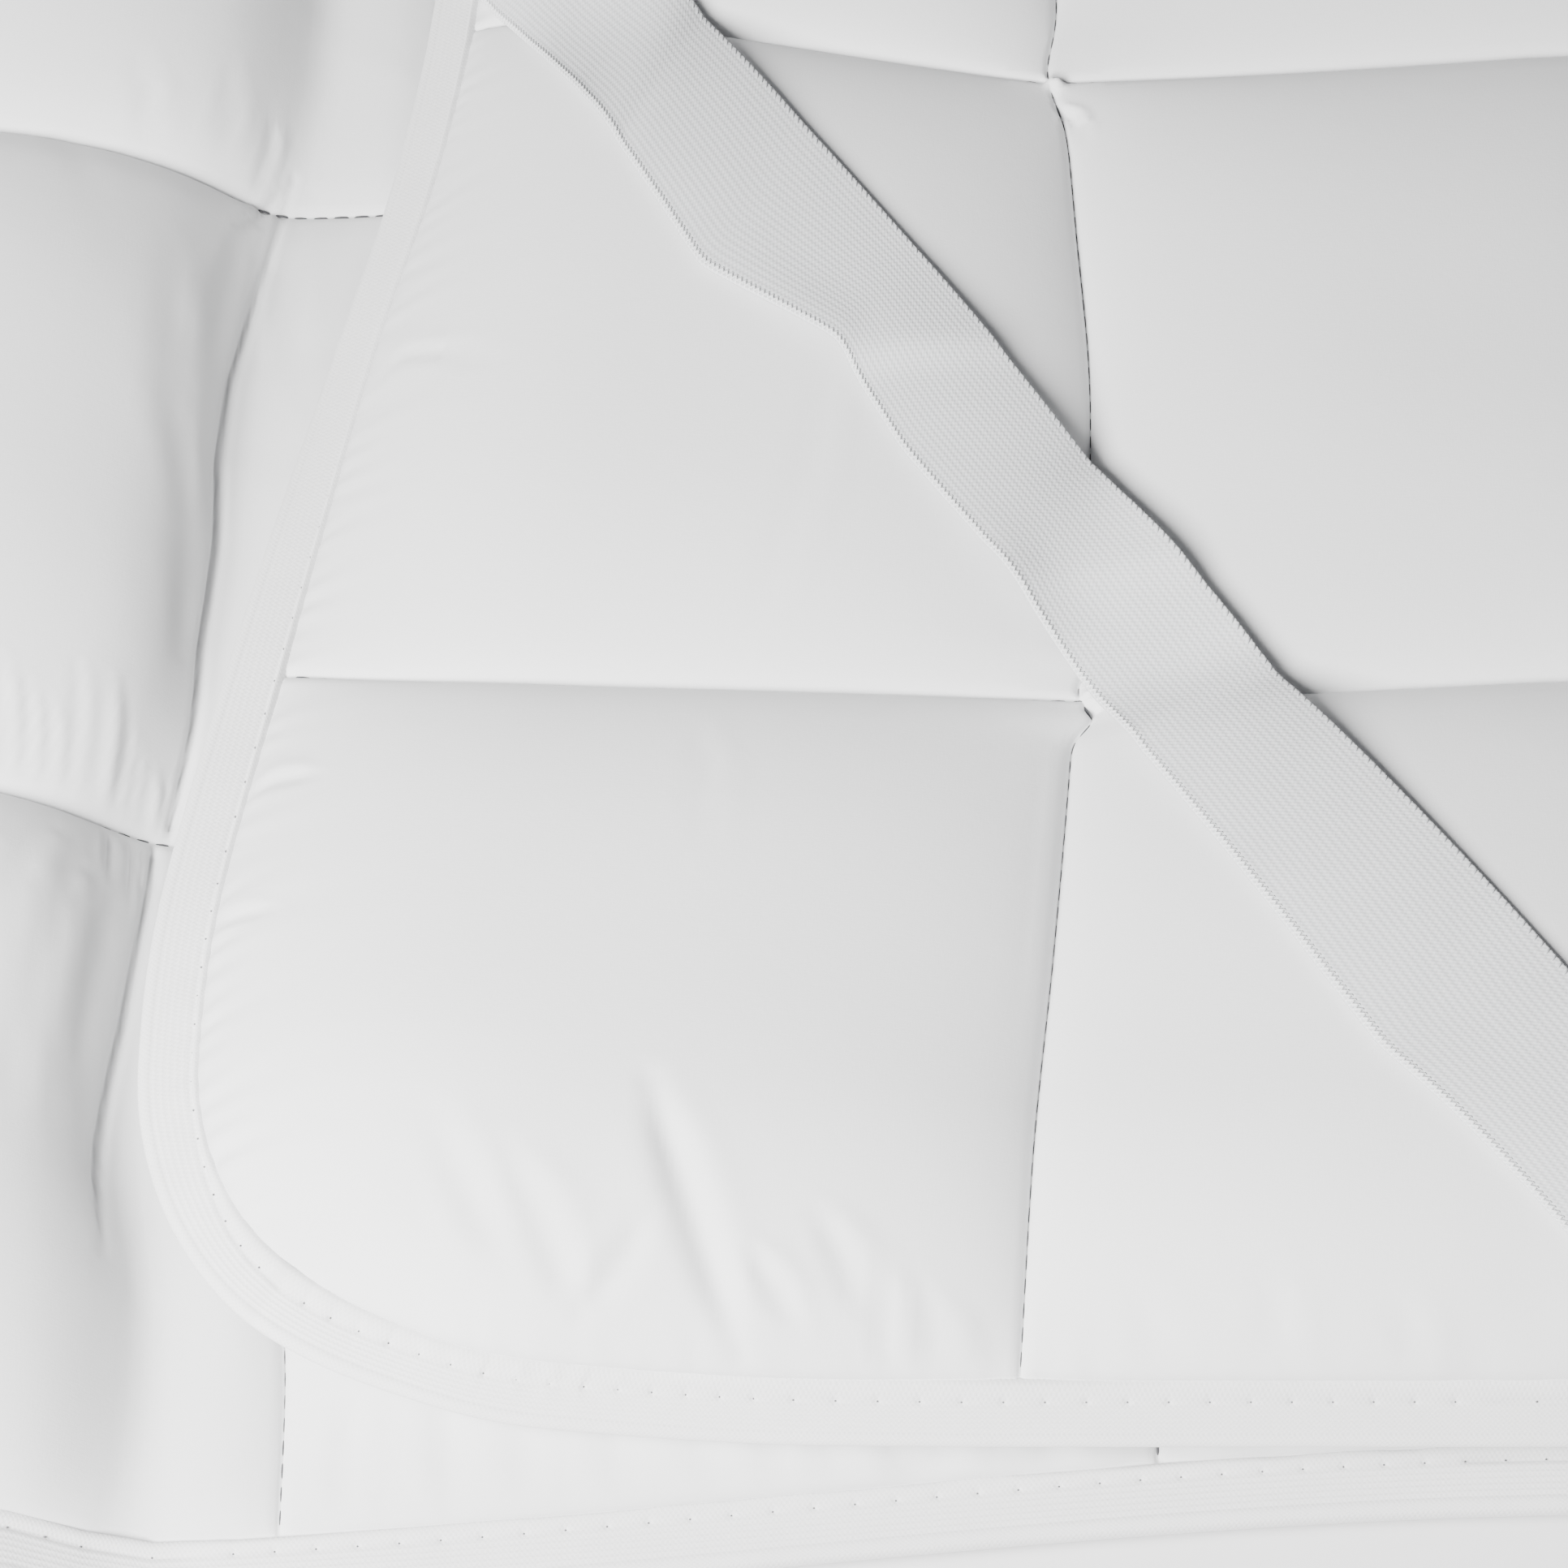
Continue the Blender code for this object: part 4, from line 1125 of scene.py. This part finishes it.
def cloth_material(name, colour, tint, rough, sheen, weave, bump, coarse):
    mat, tree, nodes, links, shader = new_material(name)
    coord = node(nodes, "ShaderNodeTexCoord")
    # colour: very slight soft unevenness of the cloth
    mottling = node(nodes, "ShaderNodeTexNoise")
    mottling.inputs["Scale"].default_value = 9.0
    mottling.inputs["Detail"].default_value = 3.0
    links.new(coord.outputs["Object"], mottling.inputs["Vector"])
    fibre = node(nodes, "ShaderNodeTexNoise")
    fibre.inputs["Scale"].default_value = 1500.0
    fibre.inputs["Detail"].default_value = 3.0
    links.new(coord.outputs["Object"], fibre.inputs["Vector"])
    mix = node(nodes, "ShaderNodeMix", data_type="RGBA")
    mix.inputs["A"].default_value = (*colour, 1)
    mix.inputs["B"].default_value = (*tint, 1)
    ramp = node(nodes, "ShaderNodeMapRange")
    ramp.inputs["From Min"].default_value = 0.3
    ramp.inputs["From Max"].default_value = 0.7
    links.new(mottling.outputs["Fac"], ramp.inputs["Value"])
    links.new(ramp.outputs["Result"], mix.inputs["Factor"])
    grain = node(nodes, "ShaderNodeMix", data_type="RGBA", blend_type="MULTIPLY")
    grain.inputs["Factor"].default_value = 0.10
    links.new(mix.outputs["Result"], grain.inputs["A"])
    links.new(fibre.outputs["Color"], grain.inputs["B"])
    bw = node(nodes, "ShaderNodeMapRange")
    bw.inputs["To Min"].default_value = 0.75
    bw.inputs["To Max"].default_value = 1.12
    links.new(fibre.outputs["Fac"], bw.inputs["Value"])
    links.new(bw.outputs["Result"], grain.inputs["B"])
    links.new(grain.outputs["Result"], shader.inputs["Base Color"])
    shader.inputs["Roughness"].default_value = rough
    shader.inputs["Sheen Weight"].default_value = sheen
    shader.inputs["Sheen Roughness"].default_value = 0.5
    shader.inputs["Specular IOR Level"].default_value = 0.25
    # bump: uneven warp and weft threads, as noise drawn out along each direction
    uv = node(nodes, "ShaderNodeUVMap", uv_map="pattern")
    add = node(nodes, "ShaderNodeMath", operation="ADD")
    for slot_, stretch in ((0, (0.22, 1.0, 1.0)), (1, (1.0, 0.22, 1.0))):
        place_ = node(nodes, "ShaderNodeMapping")
        place_.inputs["Scale"].default_value = tuple(v / weave for v in stretch)
        links.new(uv.outputs["UV"], place_.inputs["Vector"])
        thread = node(nodes, "ShaderNodeTexNoise")
        thread.inputs["Scale"].default_value = 1.0
        thread.inputs["Detail"].default_value = 2.0
        links.new(place_.outputs["Vector"], thread.inputs["Vector"])
        links.new(thread.outputs["Fac"], add.inputs[slot_])
    soft = node(nodes, "ShaderNodeTexNoise")
    soft.inputs["Scale"].default_value = 130.0
    soft.inputs["Detail"].default_value = 2.0
    links.new(coord.outputs["Object"], soft.inputs["Vector"])
    b1 = node(nodes, "ShaderNodeBump")
    b1.inputs["Strength"].default_value = bump
    b1.inputs["Distance"].default_value = 0.00006
    links.new(add.outputs["Value"], b1.inputs["Height"])
    b2 = node(nodes, "ShaderNodeBump")
    b2.inputs["Strength"].default_value = coarse
    b2.inputs["Distance"].default_value = 0.0010
    links.new(soft.outputs["Fac"], b2.inputs["Height"])
    links.new(b1.outputs["Normal"], b2.inputs["Normal"])
    links.new(b2.outputs["Normal"], shader.inputs["Normal"])
    return mat


def knit_material(name, colour, dark, rough, cross, along, strength):
    """Tape and elastic: fine cross lines and lengthwise lines, from the piece's own length and width."""
    mat, tree, nodes, links, shader = new_material(name)
    uv = node(nodes, "ShaderNodeUVMap", uv_map="pattern")
    sep = node(nodes, "ShaderNodeSeparateXYZ")
    links.new(uv.outputs["UV"], sep.inputs["Vector"])
    noise = node(nodes, "ShaderNodeTexNoise")
    noise.inputs["Scale"].default_value = 900.0
    noise.inputs["Detail"].default_value = 3.0
    coord = node(nodes, "ShaderNodeTexCoord")
    links.new(coord.outputs["Object"], noise.inputs["Vector"])
    waves = []
    for axis, length in (("X", cross), ("Y", along)):
        mul = node(nodes, "ShaderNodeMath", operation="MULTIPLY")
        mul.inputs[1].default_value = 2 * math.pi / length
        links.new(sep.outputs[axis], mul.inputs[0])
        wob = node(nodes, "ShaderNodeMath", operation="MULTIPLY_ADD")
        wob.inputs[1].default_value = 2.5
        links.new(noise.outputs["Fac"], wob.inputs[0])
        links.new(mul.outputs["Value"], wob.inputs[2])
        sine = node(nodes, "ShaderNodeMath", operation="SINE")
        links.new(wob.outputs["Value"], sine.inputs[0])
        waves.append(sine)
    both = node(nodes, "ShaderNodeMath", operation="MULTIPLY")
    links.new(waves[0].outputs["Value"], both.inputs[0])
    links.new(waves[1].outputs["Value"], both.inputs[1])
    total = node(nodes, "ShaderNodeMath", operation="ADD")
    links.new(both.outputs["Value"], total.inputs[0])
    links.new(noise.outputs["Fac"], total.inputs[1])
    patch = node(nodes, "ShaderNodeTexNoise")
    patch.inputs["Scale"].default_value = 60.0
    links.new(coord.outputs["Object"], patch.inputs["Vector"])
    mix = node(nodes, "ShaderNodeMix", data_type="RGBA")
    mix.inputs["A"].default_value = (*dark, 1)
    mix.inputs["B"].default_value = (*colour, 1)
    rng_ = node(nodes, "ShaderNodeMapRange")
    rng_.inputs["From Min"].default_value = -0.5
    rng_.inputs["From Max"].default_value = 0.9
    links.new(total.outputs["Value"], rng_.inputs["Value"])
    links.new(rng_.outputs["Result"], mix.inputs["Factor"])
    soft = node(nodes, "ShaderNodeMix", data_type="RGBA", blend_type="MULTIPLY")
    soft.inputs["Factor"].default_value = 0.08
    links.new(mix.outputs["Result"], soft.inputs["A"])
    links.new(patch.outputs["Fac"], soft.inputs["B"])
    links.new(soft.outputs["Result"], shader.inputs["Base Color"])
    shader.inputs["Roughness"].default_value = rough
    shader.inputs["Sheen Weight"].default_value = 0.15
    shader.inputs["Specular IOR Level"].default_value = 0.3
    bump = node(nodes, "ShaderNodeBump")
    bump.inputs["Strength"].default_value = strength
    bump.inputs["Distance"].default_value = 0.0001
    links.new(total.outputs["Value"], bump.inputs["Height"])
    links.new(bump.outputs["Normal"], shader.inputs["Normal"])
    return mat


def floor_material():
    mat, tree, nodes, links, shader = new_material("studio_floor")
    coord = node(nodes, "ShaderNodeTexCoord")
    noise = node(nodes, "ShaderNodeTexNoise")
    noise.inputs["Scale"].default_value = 1.5
    links.new(coord.outputs["Object"], noise.inputs["Vector"])
    mix = node(nodes, "ShaderNodeMix", data_type="RGBA")
    mix.inputs["A"].default_value = (0.80, 0.80, 0.81, 1)
    mix.inputs["B"].default_value = (0.83, 0.83, 0.83, 1)
    links.new(noise.outputs["Fac"], mix.inputs["Factor"])
    links.new(mix.outputs["Result"], shader.inputs["Base Color"])
    shader.inputs["Roughness"].default_value = 0.9
    shader.inputs["Specular IOR Level"].default_value = 0.1
    return mat


# ============================================================ build
pad = build_pad()
tape = build_tape()
stitches = tape_threads()
quilting = seam_threads()

pad_bm = bmesh.new()
pad_bm.from_mesh(pad.data)
tape_bm = bmesh.new()
tape_bm.from_mesh(tape.data)
pad_tree = BVHTree.FromBMesh(pad_bm)
pad_bm.free()
tape_bm.free()

# the strap in front on the upper layer: its two long edges, given
STRAP_BENDS = (
    # place along, left edge x, y, right edge x, y: a row for each bend of the strap
    (0.00, 0.058, 0.387, 0.062, 0.434),
    (0.15, 0.092, 0.328, 0.109, 0.374),
    (0.27, 0.117, 0.279, 0.142, 0.321),
    (0.35, 0.148, 0.256, 0.165, 0.287),
    (0.42, 0.162, 0.229, 0.185, 0.258),
    (0.51, 0.186, 0.195, 0.211, 0.220),
    (0.61, 0.210, 0.156, 0.240, 0.177),
    (0.82, 0.259, 0.074, 0.301, 0.090),
    (1.00, 0.315, 0.015, 0.356, 0.015),
)
FRONT_LEFT = [(place, lx, ly) for place, lx, ly, rx, ry in STRAP_BENDS]
FRONT_RIGHT = [(place, rx, ry) for place, lx, ly, rx, ry in STRAP_BENDS]
LIFTS = (
    # along, across, reach before, reach after, reach across, slant, height
    (0.385, 0.30, 0.060, 0.011, 0.70, 0.055, 0.0022),
    (0.345, 0.00, 0.060, 0.016, 0.25, 0.000, 0.0016),
    (0.528, 0.50, 0.045, 0.018, 0.80, 0.040, 0.0021),
    (0.505, 0.00, 0.040, 0.045, 0.22, 0.000, 0.0010),
    (0.240, 0.40, 0.060, 0.060, 0.70, 0.030, 0.0005),
    (0.850, 0.00, 0.050, 0.050, 0.30, 0.000, 0.0006),
)
strap_pieces = []
made = build_strap("strap_front", FRONT_LEFT, FRONT_RIGHT, pad_tree, True, 230, LIFTS, 0.60)
strap_pieces.append(("strap_upper_front", made))


def straight_strap(name, far, rear, over, steps):
    def spot(s, t):
        p = middle(np.array([LENGTH - s if far else s]), np.array([WIDTH - t if rear else t]))[0]
        return p[0], p[1]
    inset = TAPE * (0.35 if over else 0.75)
    a, b = spot(inset, 0.354), spot(0.305, inset)
    c, d = spot(inset, 0.415), spot(0.345, inset)
    # keep the ribbon at its real width
    ab, cd = np.array(b) - np.array(a), np.array(d) - np.array(c)
    mid = (np.array([a, b]) + np.array([c, d])) / 2
    axis = mid[1] - mid[0]
    axis = axis / np.linalg.norm(axis)
    off = np.array([-axis[1], axis[0]]) * 0.0175
    if np.dot(off, np.array(c) - np.array(a)) < 0:
        off = -off

    def cut(p, way, across):
        # each end is cut along the edge it is sewn to
        return p + off * way - axis * (way * off[across] / axis[across])
    left, right = [
        [(0.0, *cut(mid[0], way, 0)), (0.5, *((mid[0] + mid[1]) / 2 + off * way)), (1.0, *cut(mid[1], way, 1))]
        for way in (-1.0, 1.0)]
    return build_strap(name, left, right, pad_tree, over, steps, (), 0.15)


strap_pieces.append(("strap_upper_rear", straight_strap("strap_rear", False, True, True, 110)))
strap_pieces.append(("strap_lower_front", straight_strap("strap_below_front", True, False, False, 60)))
strap_pieces.append(("strap_lower_rear", straight_strap("strap_below_rear", True, True, False, 60)))

selvages = []
for node_name, (obj, upper, up, q, length) in strap_pieces[:2]:
    selvages.append((build_selvage(obj.name + "_selvage_painted_light", upper, up, 0, 0.0013, 0.00026, False), obj))
    selvages.append((build_selvage(obj.name + "_picot_painted_shade", upper, up, 1, 0.0020, 0.00026, True), obj))

# ============================================================ looks
cloth = cloth_material("microfibre", (0.800, 0.803, 0.806), (0.785, 0.789, 0.794), 0.82, 0.25, 0.00042, 0.35, 0.05)
tape_mat = knit_material("edge_tape", (0.82, 0.82, 0.82), (0.75, 0.75, 0.755), 0.80, 0.0011, 0.0013, 0.25)
elastic_mat = knit_material("elastic_knit", (0.72, 0.73, 0.74), (0.64, 0.65, 0.665), 0.85, 0.0011, 0.0013, 0.35)
# painted shade: the quilting thread is near black so that it draws the shadow inside the closed slit of each seam
seam_slit_shade_mat = knit_material("thread", (0.075, 0.075, 0.08), (0.05, 0.05, 0.055), 0.75, 0.0006, 0.0006, 0.2)
# painted shade: the tape stitch colour is near black to draw the shaded needle holes
tape_hole_shade_mat = knit_material("tape_stitch_painted_shade", (0.13, 0.13, 0.135), (0.09, 0.09, 0.095), 0.75, 0.0006, 0.0006, 0.2)
# painted light and painted shade: the loops on the upper straps' left edge are lighter than the elastic to draw that
# lit edge, the picot on their right edge much darker to draw the shade along that edge
selvage_lit_mat = knit_material("selvage_painted_light", (0.82, 0.83, 0.835), (0.72, 0.73, 0.735), 0.8, 0.0006, 0.0006, 0.2)
picot_shade_mat = knit_material("picot_painted_shade", (0.50, 0.51, 0.525), (0.40, 0.41, 0.43), 0.85, 0.0006, 0.0006, 0.2)

pad.data.materials.append(cloth)
tape.data.materials.append(tape_mat)
stitches.data.materials.append(tape_hole_shade_mat)
quilting.data.materials.append(seam_slit_shade_mat)
for _name, (obj, *_rest) in strap_pieces:
    obj.data.materials.append(elastic_mat)
# left-edge loops get the painted-light colour, right-edge picot the painted-shade colour
for k, (obj, _host) in enumerate(selvages):
    obj.data.materials.append(selvage_lit_mat if k % 2 == 0 else picot_shade_mat)

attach(pad, "root")
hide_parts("pad")
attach(tape, "root")
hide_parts("binding")
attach(stitches, "root")
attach(quilting, "root")
for k, (node_name, (obj, *_rest)) in enumerate(strap_pieces):
    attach(obj, "root")
    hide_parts(node_name)
    mine = [p for p, host in selvages if host is obj]
    for p in mine:
        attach(p, "root")

# ============================================================ studio
bpy.ops.mesh.primitive_plane_add(size=9.0, location=(0.0, 0.0, -0.0002))
floor = bpy.context.object
floor.name = "floor"
floor.data.materials.append(floor_material())


def area_light(name, where, aim, size, power, colour):
    data = bpy.data.lights.new(name, "AREA")
    data.shape = "RECTANGLE"
    data.size, data.size_y = size
    data.energy = power
    data.color = colour
    obj = bpy.data.objects.new(name, data)
    obj.location = where
    obj.rotation_mode = "QUATERNION"
    obj.rotation_quaternion = (Vector(aim) - Vector(where)).to_track_quat("-Z", "Y")
    bpy.context.scene.collection.objects.link(obj)
    return obj


area_light("key", (-0.52, -0.87, 0.75), (0.0, -0.25, 0.05), (0.62, 0.62), 52.0, (1.0, 0.995, 0.985))
area_light("fill", (2.0, -1.0, 2.2), (0.0, 0.0, 0.0), (2.2, 2.2), 1.0, (1.0, 0.99, 0.98))

world = bpy.data.worlds.new("studio")
world.use_nodes = True
back = world.node_tree.nodes["Background"]
back.inputs["Color"].default_value = (0.93, 0.95, 1.0, 1.0)
back.inputs["Strength"].default_value = 0.17
bpy.context.scene.world = world

TARGET = Vector((0.1362 - CENTRE[0], 0.1507 - CENTRE[1], 0.0535))
ELEV = math.radians(57.0)
cam_data = bpy.data.cameras.new("camera")
cam_data.sensor_width = 36.0
cam_data.sensor_fit = "HORIZONTAL"
cam_data.lens = 6500.0 / 1932.0 * 36.0
cam_data.dof.use_dof = False
cam = bpy.data.objects.new("camera", cam_data)
away = Vector((0.0, -math.cos(ELEV), math.sin(ELEV)))
cam.location = TARGET + away * 1.145
cam.rotation_mode = "QUATERNION"
cam.rotation_quaternion = (-away).to_track_quat("-Z", "Y")
cam_data.clip_start, cam_data.clip_end = 0.05, 60.0
bpy.context.scene.collection.objects.link(cam)
bpy.context.scene.camera = cam
